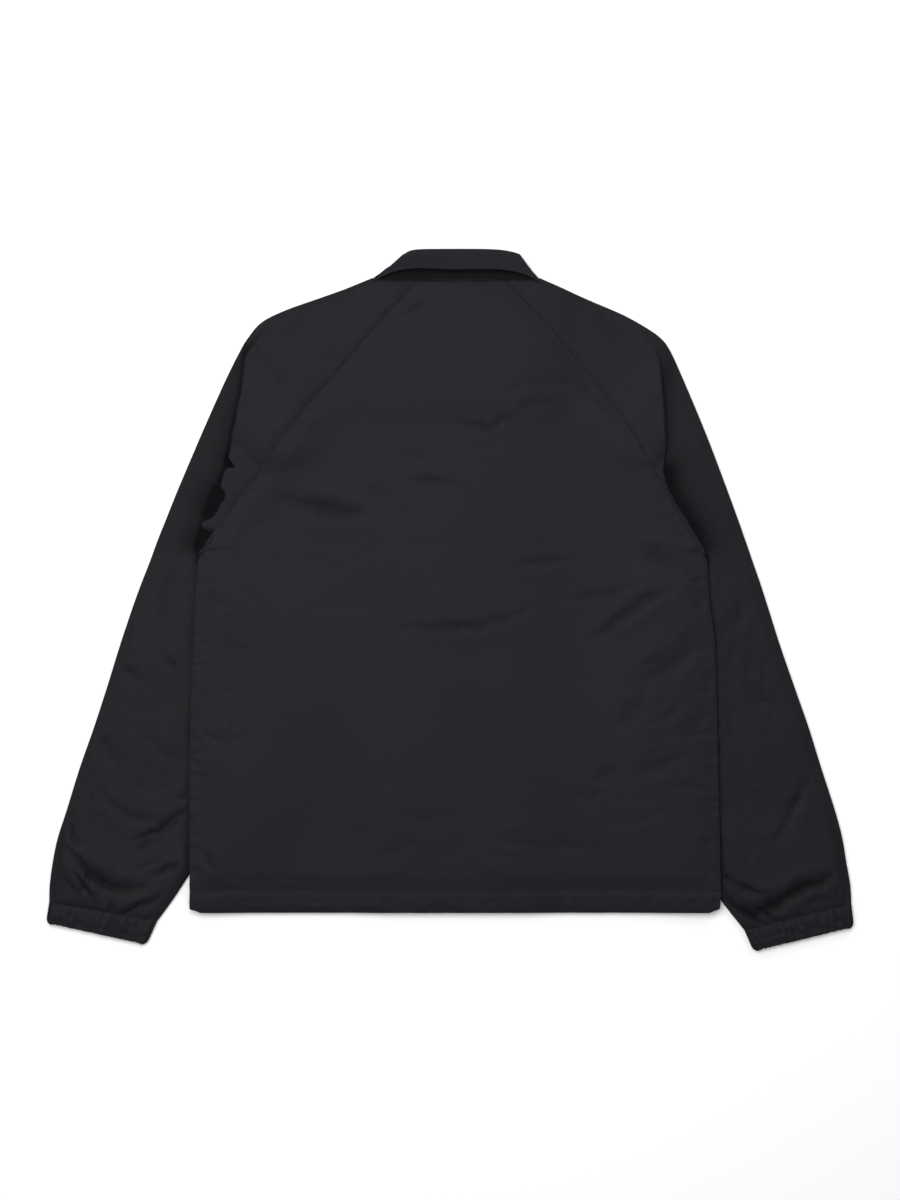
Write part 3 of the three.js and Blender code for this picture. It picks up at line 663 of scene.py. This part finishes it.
# The sleeves: each is one piece, sewn along its underside and to the body along both raglan seams, up to the
# neck. At the shoulder the upper layer folds over the arm, and below the armpit the arm is tucked under
# the body.
ARC = math.pi * FOLD_RADIUS
REACH = FOLD_RADIUS + CLOTH / 2
TUCK = FOLD_RADIUS * 1.45
ARM_FOLD_IN = 40
CAP_STEPS, STRIP_STEPS = 42, 22
GATHERS = 18  # across each cuff

SLEEVE_CREASES = {
    "left": Creases([
        ([(-405, -272), (-414, -260), (-424, -246)], 2.2, 4.5, 0.5),
        ([(-334, -315), (-352, -319), (-368, -318), (-388, -307), (-405, -294),
          (-418, -275)], 4.4, 6.5, 0.45),
        ([(-412, -296), (-402, -310), (-392, -330)], 2.2, 3.2, 0.6),
        ([(-380, -349), (-352, -339), (-334, -331), (-314, -321)], 3.6, 3.2, 0.8),
        ([(-377, -346), (-374, -338), (-376, -328)], 2.2, 3, 0.6),
        ([(-349, -262), (-332, -259), (-318, -249), (-302, -236), (-284, -230)], 3.0, 5, 0.6),
        ([(-346, -273), (-330, -268), (-318, -262)], 1.8, 4, 0.5),
        ([(-302, -218), (-292, -215), (-284, -214)], 1.8, 4, 0.5),
        ([(-380, -220), (-360, -232), (-340, -240), (-312, -242)], 1.5, 7, 0.2),
        ([(-316, -296), (-306, -292), (-298, -290)], 2.2, 4, 0.5),
        ([(-324, -304), (-316, -298), (-312, -290)], 1.6, 3.5, 0.5),
        ([(-358, -72), (-350, -80), (-340, -88)], 1.3, 4.5, 0.4),
        ([(-314, -61), (-306, -68), (-298, -75)], 1.6, 4.5, 0.4),
        ([(-390, -148), (-376, -165), (-362, -182)], 1.2, 8, 0.2),
        ([(-262, 300), (-244, 262), (-240, 230)], 1.0, 8, 0.2),
        ([(-150, 320), (-170, 296), (-196, 280)], 0.8, 8, 0.2),
        ([(-330, -150), (-310, -168), (-290, -176)], 1.0, 7, 0.3),
        ([(-300, 40), (-312, 10), (-318, -20)], 1.1, 7, 0.2),
        ([(-412, -300), (-402, -312), (-396, -326)], 1.8, 4, 0.5),
        ([(-430, -296), (-418, -310), (-410, -322)], 1.5, 4, 0.5),
    ] + scattered(21, 34, (-430, -340), (-300, -200), (-400, -380), 0.9, 3.6, 30)
      + scattered(22, 34, (-420, -200), (-290, 60), (-330, 200), 0.45, 6, 44)
      + scattered(23, 26, (-240, 80), (-110, 330), (-330, 60), 0.4, 7, 44)),
    "right": Creases([
        ([(299, -321), (314, -339), (330, -343), (346, -338), (361, -330), (374, -321), (387, -314),
          (405, -309), (421, -302)], 6.6, 6.6, 0.3),
        ([(330, -344), (338, -350), (347, -357)], 4, 3, 0.5),
        ([(346, -342), (356, -348), (370, -353)], 4, 3, 0.5),
        ([(310, -306), (332, -318), (352, -322)], 3.0, 4, 0.7),
        ([(296, -296), (304, -304), (312, -316)], 2.6, 4, 0.5),
        ([(388, -334), (400, -331), (414, -326)], 1.4, 4, 0.5),
        ([(396, -189), (378, -231), (354, -273)], 1.2, 6, 0.1),
        ([(295, -154), (299, -150), (303, -148)], 1.6, 4, 0.4),
        ([(320, -90), (344, -108), (366, -118)], 1.1, 7, 0.2),
        ([(330, -210), (352, -226), (376, -230)], 0.7, 8, 0.2),
        ([(320, -260), (346, -270), (370, -290)], 0.8, 7, 0.2),
        ([(298, -40), (312, -20), (322, 6)], 1.1, 7, 0.2),
        ([(240, 276), (252, 250), (262, 226)], 0.9, 8, 0.2),
        ([(160, 320), (182, 300), (204, 290)], 0.8, 8, 0.2),
    ] + scattered(24, 22, (300, -335), (385, -210), (280, -380), 0.7, 3.8, 26)
      + scattered(25, 30, (295, -200), (410, 60), (320, 200), 0.4, 6, 44)
      + scattered(26, 26, (120, 80), (240, 330), (330, 60), 0.4, 7, 44)),
}

# Along each sleeve's folded cap: y, how far the fold draws back there, and how dark the shade painted below it
# is
CAP_NOTCH_AND_SHADE = {
    "left": np.array([
        (320, 0, 0), (292, 0, 0), (280, 0, 1.1), (262, 0, 1.1), (245, 0, 0.75), (210, 0, 0.65),
        (185, 0, 0.75), (161, 1, 0.9), (157, 14, 1), (152, 6, 0.9), (148, 0, 0.9), (140, -1, 0.9),
        (131, 1, 0.95), (127, 8, 1.3), (105, 8, 1.3), (95, 2, 1.2), (91, -5, 0.7), (85, -3, 0.9),
        (82, 11, 1.2), (66, 8, 1.2), (54, 2, 0.95), (44, 0, 0.5)], float),
    "right": np.array([
        (320, 0, 0), (285, 0, 0), (276, 0, 0.35), (240, 0, 0.6), (215, 0, 0.55), (200, -2, 0.5),
        (172, -2, 0.6), (164, 4, 1.1), (152, 6, 1.15), (140, 4, 0.95), (124, 5, 0.85), (110, 3, 0.85),
        (90, 3, 0.85), (70, 3, 0.75), (54, 2, 0.5), (44, 0, 0.3)], float),
}

# How far the painted shade below a cap reaches in, and how sharply it ends
CAP_SHADE = {"left": (4, 4), "right": (9, 1.7)}

# Below the armpit, where the body's edge lies on a sleeve: y, and how dark the shade painted beside it is
EDGE_PAINTED_SHADE = {
    "left": np.array([
        (44, 0.5), (20, 0.25), (-60, 0.25), (-130, 0.5), (-180, 0.35), (-250, 0.6), (-340, 0.7)]),
    "right": np.array([
        (44, 1), (20, 0.7), (0, 0.9), (-55, 0.9), (-80, 0.5), (-120, 0.8), (-220, 0.9), (-235, 0.5),
        (-253, 0.9), (-340, 0.8)]),
}


def bend(heading, turn, length, count):
    """Steps outwards and up of an arc, with the heading after each, for sections whose arcs differ."""
    steps = []
    for k in range(count):
        angle = heading + turn * (k + 0.5) / count
        half = turn / count / 2
        chord = length / count * np.sinc(half / math.pi)
        steps.append((chord * np.cos(angle), chord * np.sin(angle), heading + turn * (k + 1) / count))
    return steps


def sleeve(side, seed):
    raglan, arm = RAGLAN[side], ARM[side]
    table = np.hstack([raglan, np.zeros((len(raglan), 1))])
    tail = [(ix, iy, ex, ey, ix, iy, ARM_FOLD_IN, 0, 0, 1) for ix, iy, ex, ey in arm]
    hidden = 10 if side == "left" else -8
    tail[0] = (arm[0, 0] + hidden, 41, *arm[0, 2:], arm[0, 0] + hidden, 41, 53, 0, 0, 1)
    table = np.vstack([table, tail])
    place = even_places(table[:, 2:4], GRAIN)
    rows = spline(table, place)
    steady = np.stack([np.interp(place, np.arange(len(table)), table[:, k]) for k in (6, 7, 8, 9)], 1)
    cap_height = np.interp(place, np.arange(len(table)), 0.55 * table[:, 3] + 0.45 * table[:, 1])
    level = 0 * place
    uneven = 1.1 * waves(cap_height, level, 26, seed + 5) + 0.6 * waves(cap_height, level, 11, seed + 6)
    drawn = read_down(CAP_NOTCH_AND_SHADE[side], 1, cap_height) + uneven
    fold_in, turn, depth, tuck = steady.T
    drawn = drawn * smooth(90, 170, turn) * (1 - tuck)
    fold_in = fold_in + drawn
    turn, tuck_turn = np.radians(turn), tuck * math.pi / 2
    seam, edge, under_seam = rows[:, 0:2], rows[:, 2:4], rows[:, 4:6]
    out = edge - seam
    out /= np.linalg.norm(out, axis=1, keepdims=True)
    inwards = edge - under_seam
    inwards /= np.linalg.norm(inwards, axis=1, keepdims=True)
    points, headings = [], []

    def put(plan, height, heading):
        points.append(np.column_stack([plan, height]))
        headings.append(np.broadcast_to(heading, len(place)))

    def walk(plan, height, steps):
        plan, height = plan.copy(), height.copy()
        for step_out, step_up, heading in steps:
            plan += out * np.reshape(step_out, (-1, 1))
            height += step_up
            put(plan, height, heading)
        return plan, height

    def run(start, stop, count, height, heading, bow=None):
        for n in range(1, count + 1):
            plan = start + (stop - start) * n / count
            if bow:
                plan = plan + bow(n / count)
            put(plan, height(plan), heading)

    def under(plan):
        return CLOTH / 2 + neck_rise(plan[:, 0], plan[:, 1])

    def strip(plan):
        return under(plan) + LAYER

    fold = bend(0, -turn, ARC, 6) + bend(-turn, 0 * turn, depth + 1, 3) + bend(-turn, turn, ARC, 6)
    drop = -sum(step[1] for step in fold)

    def cap(plan):
        return strip(plan) + drop

    tuck_in = bend(tuck_turn, -tuck_turn, TUCK, 5)
    begin = seam + out * (CLOTH / 2 * tuck)[:, None]
    height = cap(begin) - sum(step[1] for step in tuck_in)
    put(begin, height, tuck_turn)
    cap_start, _ = walk(begin, height, tuck_in)
    fold_place = edge - out * (fold_in + REACH * np.sin(np.minimum(turn, math.pi / 2)))[:, None]
    run(cap_start, fold_place, CAP_STEPS, cap, 0)
    strip_start, _ = walk(fold_place, cap(fold_place), fold)
    roll_place = edge - out * REACH
    run(strip_start, roll_place, STRIP_STEPS, strip, 0)
    floor_start, _ = walk(roll_place, strip(roll_place), bend(0 * turn, -math.pi, ARC, 8))
    end_in = inwards * (SEAM_GAP / 2 * (1 - tuck))[:, None] + out * (REACH * tuck)[:, None]
    sign = 1 if side == "left" else -1

    def bow(t):
        x, y = neck_bow(place, 0, FRONT_SEAM_ANGLE, t)
        return np.column_stack([x[:, 0] * sign, y[:, 0]])

    end = under_seam + end_in
    run(floor_start, end, 24, under, -math.pi, bow)
    end_plan = points[-1][:, :2]
    walk(end_plan, under(end_plan), bend(0 * turn - math.pi, -tuck_turn, TUCK, 5))

    middle = np.stack(points, 1)
    heading = np.stack(headings, 1)
    lean = -np.sin(heading)
    facing = np.stack([out[:, None, 0] * lean, out[:, None, 1] * lean, np.cos(heading)], 2)
    middle[0, :, 1] = np.where(heading[0] == 0, back_neck(middle[0, :, 0]) + NECK_TUCK, middle[0, :, 1])
    x, y = middle[..., 0], middle[..., 1]
    upper = smooth(0.2, 0.95, np.cos(heading))
    outside = (side_x(side, y) - x) * sign
    shown = np.where(y > SIDE[0, 0], 1, smooth(0, 9, outside))
    to_end = np.minimum(np.arange(len(place)), np.arange(len(place))[::-1])[:, None] * GRAIN
    steps = np.linalg.norm(np.diff(middle, axis=1), axis=2)
    walked = np.concatenate([np.zeros((len(place), 1)), np.cumsum(steps, 1)], 1)
    fold_end = 6 + CAP_STEPS + 15 - 1
    roll = walked[:, fold_end + STRIP_STEPS][:, None]
    to_side = np.minimum(walked, np.maximum(roll - walked, 0))
    loose = upper * shown * smooth(0, 11, to_side) * smooth(0, 4, to_end)
    fine = upper * shown * smooth(0, 5, to_side)
    pressed, painted_shade_amount = SLEEVE_CREASES[side].press(x, y)
    to_cuff = (len(place) - 1 - np.arange(len(place)))[:, None] * GRAIN
    blown = 2.4 * np.exp(-(((to_cuff - 40) / 38) ** 2))
    middle[..., 2] += loose * (0.9 + blown + 0.4 * waves(x, y, 90, seed) + pressed)
    middle[..., 2] += fine * (0.22 * crumple(x, y, 32, seed + 1) + 0.15 * crumple(x, y, 15, seed + 2) - 0.1)
    middle[..., 2] -= 0.3 * upper * (1 - smooth(0, 2.6, walked)) * (1 - tuck[:, None])

    # the layer that lies on the floor has the same creases, pressed flatter
    lower = smooth(0.2, 0.95, -np.cos(heading))
    start = walked[:, fold_end + STRIP_STEPS + 8][:, None]
    to_roll = np.maximum(np.minimum(walked - start, walked[:, -1:] - walked), 0)
    raised = np.clip(0.5 + 0.3 * waves(x, y, 70, seed + 9) - 0.3 * pressed, 0, 1.1)
    middle[..., 2] += lower * smooth(0, 16, to_roll) * smooth(0, 14, to_end) * raised

    # short pleats that the cuff gathers into the arm's end
    width = np.linalg.norm(edge - seam, axis=1)[:, None]
    reach = np.sum((middle[..., :2] - seam[:, None]) * out[:, None], 2) / width
    phase = reach * GATHERS + 0.9 * waves(reach * 100, 0 * reach, 30, seed + 3) + 0.012 * to_cuff
    length = 5 + 7 * np.maximum(1 + waves(reach * 100, 0 * reach, 14, seed + 4), 0)
    held = upper * smooth(0, 5, to_side) * 0.75
    middle[..., 2] += held * np.exp(-to_cuff / length) * np.sin(2 * math.pi * phase)
    floor_layer = (CLOTH / 2 + neck_rise(x, y)) * upper
    middle[..., 2] = np.where(upper > 0.5, np.maximum(middle[..., 2], floor_layer + 1.3), middle[..., 2])

    # painted shade: in creases, under the folded cap, and beside the body's edge
    painted_shade = 0.15 * np.clip(loose * painted_shade_amount - 0.3, 0, 5)
    # painted shade on the arm just past the folded cap's edge
    overhang = (depth + 1 + REACH) * np.maximum(-np.cos(turn), 0)
    beyond = walked - (walked[:, fold_end] + overhang + np.maximum(drawn, 0))[:, None]
    dark = read_down(CAP_NOTCH_AND_SHADE[side], 2, cap_height)[:, None]
    dark = dark * smooth(20, 90, np.degrees(turn))[:, None] * (1 - tuck)[:, None] ** 0.5
    reach_in, sharpness = CAP_SHADE[side]
    reach_in = reach_in + 2.5 * smooth(0.85, 1.3, dark)
    under_cap = 0.4 * np.exp(-((np.maximum(beyond, 0) / reach_in) ** sharpness))
    under_cap = under_cap + 0.65 * np.exp(-((np.maximum(beyond, 0) / 22) ** 1.5))
    painted_shade += np.where(np.arange(middle.shape[1]) >= fold_end - 9, dark * under_cap, 0)
    # painted shade on the sleeve beside the body's edge, as if the body cast it
    beside = read_down(EDGE_PAINTED_SHADE[side], 1, y) * (1 + 0.35 * waves(0 * x, y, 22, seed + 8))
    below = smooth(SIDE[0, 0] + 14, SIDE[0, 0] - 6, y)
    outside = np.maximum(outside, 0)
    painted_shade += below * upper * beside * (0.7 * np.exp(-outside / 2.2) + 0.2 * np.exp(-outside / 9))
    return skin(f"sleeve_{side}", middle, facing, CLOTH / 2, painted_shade=painted_shade)


# The sleeves' nylon is a slightly darker copy of the back's: painted shade for the weaker light on the arms.
arm_shell = nylon("black_nylon_sleeves", (0.0063, 0.0058, 0.008), (0.0092, 0.0086, 0.0113), 0.6, 0.1)
for side, seed, area in (("left", 71, 0.173), ("right", 91, 0.164)):
    tube = sleeve(side, seed)
    tube.data.materials.append(arm_shell)
    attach(tube, "root")
    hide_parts(f"sleeve_{side}")


# The cuffs: short casings of doubled nylon with an elastic inside, which gathers their upper side into fine
# pleats. Each is sewn to its sleeve's end.
CUFF_EDGE = {
    "left": np.array([(-444, -354.2), (-333.3, -378.4)]),
    "right": np.array([(444, -358.6), (333.3, -385.6)]),
}
GATHER_HEIGHT = 0.9
CUFF_ROUND = 4
casing = nylon("black_nylon_casing", (0.0063, 0.0058, 0.008), (0.0094, 0.0088, 0.0115), 0.6, 0.09,
               crinkle=0.5)


def cuff(side, seed):
    rng = np.random.default_rng(seed)
    seam = ARM[side][-1]
    radius = (CASING + LAYER_GAP) / 2
    per_gather = 12
    steps = GATHERS * per_gather
    share = np.linspace(0, 1, steps + 1)
    bounds = np.cumsum(np.concatenate([[0], rng.uniform(0.35, 1.65, GATHERS)]))
    gather = np.interp(share, bounds / bounds[-1], np.arange(GATHERS + 1))
    size = np.interp(gather, np.arange(GATHERS + 1), rng.uniform(0.2, 1.0, GATHERS + 1))
    wave = size * ((1 - np.cos(2 * math.pi * gather)) / 2) ** 0.7
    rows, normals, hollows = [], [], []
    for t in np.linspace(0, 1, 16):
        outer = np.array(seam[2:4]) * (1 - t) + CUFF_EDGE[side][0] * t
        inner = np.array(seam[0:2]) * (1 - t) + CUFF_EDGE[side][1] * t
        out = (outer - inner) / np.linalg.norm(outer - inner)
        half = np.linalg.norm(outer - inner) / 2 - radius - CASING / 2
        half -= CUFF_ROUND * (1 - math.sqrt(1 - (max(t - 0.75, 0) / 0.25) ** 2))
        belly = math.sin(math.pi * min(t, 0.97)) ** 0.6
        raised = GATHER_HEIGHT * (0.45 + 0.55 * belly) * wave - 1.5 * (1 - smooth(0, 0.35, t))
        raised += 0.5 * belly * waves(-half + 2 * half * share, np.full(steps + 1, 26 * t), 12, seed + 7)
        top, foot = -half + 2 * half * share, np.linspace(half, -half, 30)
        along = np.concatenate([top, np.full(7, half), foot, np.full(7, -half)])
        angle = np.concatenate([np.zeros(steps + 1), math.pi * np.arange(1, 8) / 8, np.full(30, math.pi),
                                math.pi + math.pi * np.arange(1, 8) / 8])
        lift = np.concatenate([raised, np.zeros(44)])
        normal = np.stack([out[0] * np.sin(angle), out[1] * np.sin(angle), np.cos(angle)], 1)
        plan = (outer + inner) / 2 + out * along[:, None]
        level = np.full(len(along), CASING / 2 + radius)
        point = np.column_stack([plan, level]) + normal * (radius + lift)[:, None]
        rows.append(point)
        normals.append(normal)
        # painted shade in the hollows between the cuff's gathers
        painted_shade_amount = np.clip(0.5 - 2.2 * wave, 0, 0.5) * size * (0.3 + 0.7 * belly)
        hollows.append(np.concatenate([painted_shade_amount, np.zeros(44)]))
    return skin(f"cuff_{side}", np.stack(rows), np.stack(normals), CASING / 2,
                closed=True, painted_shade=np.stack(hollows))


for side, seed in (("left", 5), ("right", 6)):
    band = cuff(side, seed)
    band.data.materials.append(casing)
    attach(band, "root")
    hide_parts(f"cuff_{side}")


# The collar: a stand sewn round the neckline and a fall that turns over it, of two layers of nylon. The
# jacket lies on its front, so the collar is pressed flat, with the fall's back standing away from the neck
# seam.
FOLD_Y, FOLD_LEFT, FOLD_RIGHT, FOLD_FRONT_DROP, FOLD_DIP = 383, 57, 69, 92, 5
NECK_GAP = 0.6
FALL_BACK, FALL_LEFT, FALL_RIGHT, FALL_FRONT, FALL_POINT, FALL_LIFT, FALL_SPREAD = 21.7, 43, 35, 50, 13, 9, 20
TIP_DROP = 2.7  # the fold's ends lie a little below the neck seam's
POINT_START = 0.6
NECK_LEVEL = CLOTH / 2 + LAYER + FOLD_RADIUS


def collar_ring():
    """Stations round the neck from the left front end to the right: angle, facing, and whether at the front."""
    end, start = math.radians(88.5), math.radians(6)
    down, up = -math.pi / 2, math.pi / 2
    ring = [(angle, down, True) for angle in np.linspace(end, start, 26)]
    ring += [(0, facing, False) for facing in np.linspace(down, up, 14)[1:-1]]
    ring += [(angle, up, False) for angle in np.linspace(start, math.pi - start, 60)]
    ring += [(math.pi, facing, False) for facing in np.linspace(up, down, 14)[1:-1]]
    ring += [(math.pi - angle, down, True) for angle in np.linspace(start, end, 26)]
    return ring


def station(angle, facing, at_front):
    across, down = math.cos(angle), math.sin(angle)
    seam_drop = (NECK_DROP if at_front else NECK_SAG) * down
    if at_front:
        fold_drop = FOLD_DIP + FOLD_FRONT_DROP * down
    else:
        fold_drop = FOLD_DIP * abs(across) ** (10 if across > 0 else 5)
    fold_half = FOLD_LEFT if across > 0 else FOLD_RIGHT
    seam = np.array((NECK_X - NECK_HALF * across, NECK_Y - seam_drop, NECK_LEVEL))
    fold = np.array((NECK_X - fold_half * across, FOLD_Y - fold_drop, NECK_LEVEL))
    up = (fold - seam) / np.linalg.norm(fold - seam)
    aside = np.array((-up[1], up[0], 0)) if across > 0 else np.array((up[1], -up[0], 0))
    out = aside * math.cos(facing) + UP * math.sin(facing)
    return seam - 1.5 * math.cos(facing) * aside, fold - 3 * math.cos(facing) * aside, up, out


def collar_stand():
    columns, normals = [], []
    for angle, facing, at_front in collar_ring():
        seam, fold, up, out = station(angle, facing, at_front)
        low, high = seam + up * NECK_GAP, fold - up * NECK_GAP
        columns.append([low * (1 - t) + high * t + out * FOLD_RADIUS for t in np.linspace(0, 1, 12)])
        normals.append([out] * 12)
    return skin("collar_stand", np.array(columns), np.array(normals), CLOTH / 2)


def collar_fall():
    columns, normals = [], []
    for angle, facing, at_front in collar_ring():
        seam, fold, up, out = station(angle, facing, at_front)
        turn = math.sin(angle)
        fall_side = FALL_LEFT if math.cos(angle) > 0 else FALL_RIGHT
        if at_front:
            length = fall_side + (FALL_FRONT - fall_side) * smooth(0, POINT_START, turn)
            length += FALL_POINT * smooth(POINT_START, 1, turn)
            lift, aside = 0, FALL_SPREAD * smooth(POINT_START, 1, turn) * (-1 if math.cos(angle) > 0 else 1)
        else:
            length = fall_side + (FALL_BACK - fall_side) * smooth(0, 1, turn)
            lift, aside = FALL_LIFT * smooth(0.1, 0.8, turn), 0
        line, facings = [], []
        for k in range(8 + 14 + 1):
            bent = math.pi * min(k, 8) / 8
            down = max(k - 8, 0) / 14
            along = FOLD_RADIUS * math.sin(bent) - length * down
            off = FOLD_RADIUS * (1 - math.cos(bent)) + lift * down**1.5
            point = fold + up * along + out * (FOLD_RADIUS + off)
            lean = 0.8 if math.cos(angle) > 0 else -0.4
            point[0] += aside * down + TIP_DROP * down * (1 - smooth(0, 0.5, turn)) * lean
            point[1] -= TIP_DROP * down * (1 - smooth(0, 0.5, turn))
            line.append(point)
            facings.append(-math.cos(bent) * out + math.sin(bent) * up)
        columns.append(line)
        normals.append(facings)
    return skin("collar_fall", np.array(columns), np.array(normals), CLOTH / 2)


# The stand's nylon is a darker, matter copy of the shell's: painted shade for the stand lying in the gap under
# the lifted fall.
stand_shade_nylon = nylon("black_nylon_stand_painted_shade", (0.0036, 0.0032, 0.0042), (0.0052, 0.0048, 0.0064), 0.75, 0.07)
stand = collar_stand()
stand.data.materials.append(stand_shade_nylon)
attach(stand, "root")
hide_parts("collar_stand")

# two thin rolled welts along the neck seam inside the collar
welt_paint = nylon("black_nylon_welt", (0.0058, 0.0054, 0.0072), (0.0084, 0.0079, 0.0102), 0.65, 0.09)
for name, first, last, above in (("neck_welt_low", 62, 125, 1.3), ("neck_welt_high", 72, 118, 3.4)):
    welt_points = []
    for angle in np.linspace(math.radians(first), math.radians(last), 60):
        seam, fold, up, out = station(angle, math.pi / 2, False)
        base = seam + up * (above + 0.4 * math.sin(9 * angle)) + out * (FOLD_RADIUS + CLOTH / 2 + 0.15)
        welt_points.append([base + up * width for width in (-0.55, 0, 0.55)])
    welt = skin(name, np.array(welt_points), UP, 0.5)
    welt.data.materials.append(welt_paint)
    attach(welt, "root")

fall = collar_fall()
fall.data.materials.append(shell)
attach(fall, "root")
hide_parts("collar_fall")


# The hem: a casing of doubled nylon along the foot of the back and of each front, turned up
# and stitched down.


def hem_rows(side):
    y = np.linspace(HEM_SEAM, HEM_EDGE, 13)
    corner = HEM_CORNER_IN * smooth(HEM_EDGE + HEM_CORNER_UP, HEM_EDGE, y)
    x = side_x(side, y)
    return np.stack([x - np.sign(x) * corner, y], 1)


def hem_back():
    flat = grid_between(hem_rows("left"), hem_rows("right"), 260)
    x, y = flat[..., 0], flat[..., 1]
    closing = 1 - smooth(*LAP_FADE, np.abs(x - CENTRE))
    seam_z = (CLOTH - CASING) / 2 + CLOTH / 2 + LAYER * (1 + closing) - 0.5
    z = CASING / 2 + (CASING + LAYER_GAP) * (1 + closing)
    z = seam_z + (z - seam_z) * smooth(HEM_SEAM, HEM_SEAM - 6, y) + sleeve_rise(x, y, 120)
    to_end = np.minimum(np.abs(y - HEM_SEAM), np.abs(y - HEM_EDGE))
    z += smooth(0, 7, to_end) * (0.5 + 0.3 * waves(x, y, 40, 7) + 0.45 * crumple(x, y, 18, 8))
    return skin("hem_back", np.stack([x, y, z], 2), UP, CASING / 2)


def hem_front(side):
    outer = hem_rows(side)
    inner = np.stack([np.full(len(outer), centre_edge(side)), outer[:, 1]], 1)
    flat = grid_between(outer, inner, 110)
    x, y = flat[..., 0], flat[..., 1]
    z = front_height(side, x, y, CASING)
    return skin(f"hem_front_{side}", np.stack([x, y, z], 2), -UP, CASING / 2)


hems = [("hem_back", hem_back(), (0.583, 0.025), 0.0145)]
hems += [(f"hem_front_{side}", hem_front(side), (0.306, 0.025), 0.0076) for side in ("left", "right")]
for name, band, flat_size, area in hems:
    band.data.materials.append(casing)
    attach(band, "root")
    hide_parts(name)


# The sewing: black thread, in short stitches that pull the cloth down a little. One row lies beside each
# raglan seam of the back and one beside the hem seam.
STITCH, STITCH_GAP, THREAD = 2.4, 1.0, 0.32


def stitches(name, lines):
    """Joined stitches along lines of points in millimetres, on the cloth's face."""
    points, faces = [], []
    for line in lines:
        line = np.asarray(line)
        walked = np.concatenate([[0], np.cumsum(np.linalg.norm(np.diff(line, axis=0), axis=1))])
        for start in np.arange(1, walked[-1] - STITCH - 1, STITCH + STITCH_GAP):
            ends = [np.array([np.interp(at, walked, line[:, k]) for k in range(3)])
                    for at in (start, start + STITCH)]
            ahead = (ends[1] - ends[0]) / np.linalg.norm(ends[1] - ends[0])
            aside = np.cross(UP, ahead)
            above = np.cross(ahead, aside)
            first = len(points)
            points.append(ends[0] - 0.3 * above)
            for share in (0.25, 0.75):
                centre = ends[0] * (1 - share) + ends[1] * share
                for turn in range(5):
                    angle = 2 * math.pi * turn / 5
                    points.append(centre + THREAD * (math.cos(angle) * aside + math.sin(angle) * above))
            points.append(ends[1] - 0.3 * above)
            for turn in range(5):
                a, b = first + 1 + turn, first + 1 + (turn + 1) % 5
                faces += [(first, b, a), (a, b, b + 5, a + 5), (first + 11, a + 5, b + 5)]
    mesh = bpy.data.meshes.new(name)
    mesh.from_pydata([tuple(point * MM) for point in points], [], faces)
    mesh.polygons.foreach_set("use_smooth", np.ones(len(mesh.polygons), bool))
    mesh.update()
    piece = bpy.data.objects.new(name, mesh)
    bpy.context.collection.objects.link(piece)
    return piece


def beside_edge(surface, column, inset):
    """A line on a panel's face at a distance in from its left or right edge, down its rows."""
    line = []
    for row in surface[:, :: 1 if column == 0 else -1]:
        away = np.abs(row[:, 0] - row[0, 0])
        line.append([np.interp(inset, away, row[:, k]) for k in range(3)])
    return np.array(line) + (0, 0, CLOTH / 2)


raglan_rows = len(place) - 2
hem_line = back_surface[-2, 3:-3] + (0, 0, CLOTH / 2)
sewing = {
    "stitching_raglan": [beside_edge(back_surface, column, 2)[2:raglan_rows] for column in (0, -1)],
    "stitching_hem": [hem_line],
}
thread = Finish("black_thread")
twist = thread.node("ShaderNodeTexNoise", None, {"Scale": 900.0, "Detail": 1.0})
black = {0: twist, 6: (0.004, 0.0036, 0.005, 1), 7: (0.009, 0.0084, 0.011, 1)}
thread.feed("Base Color", thread.node("ShaderNodeMix", {"data_type": "RGBA"}, black, output=2))
thread.feed("Roughness", 0.7)
thread.feed("Specular IOR Level", 0.08)
for name, lines in sewing.items():
    row = stitches(name, lines)
    row.data.materials.append(thread.material)
    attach(row, "root")
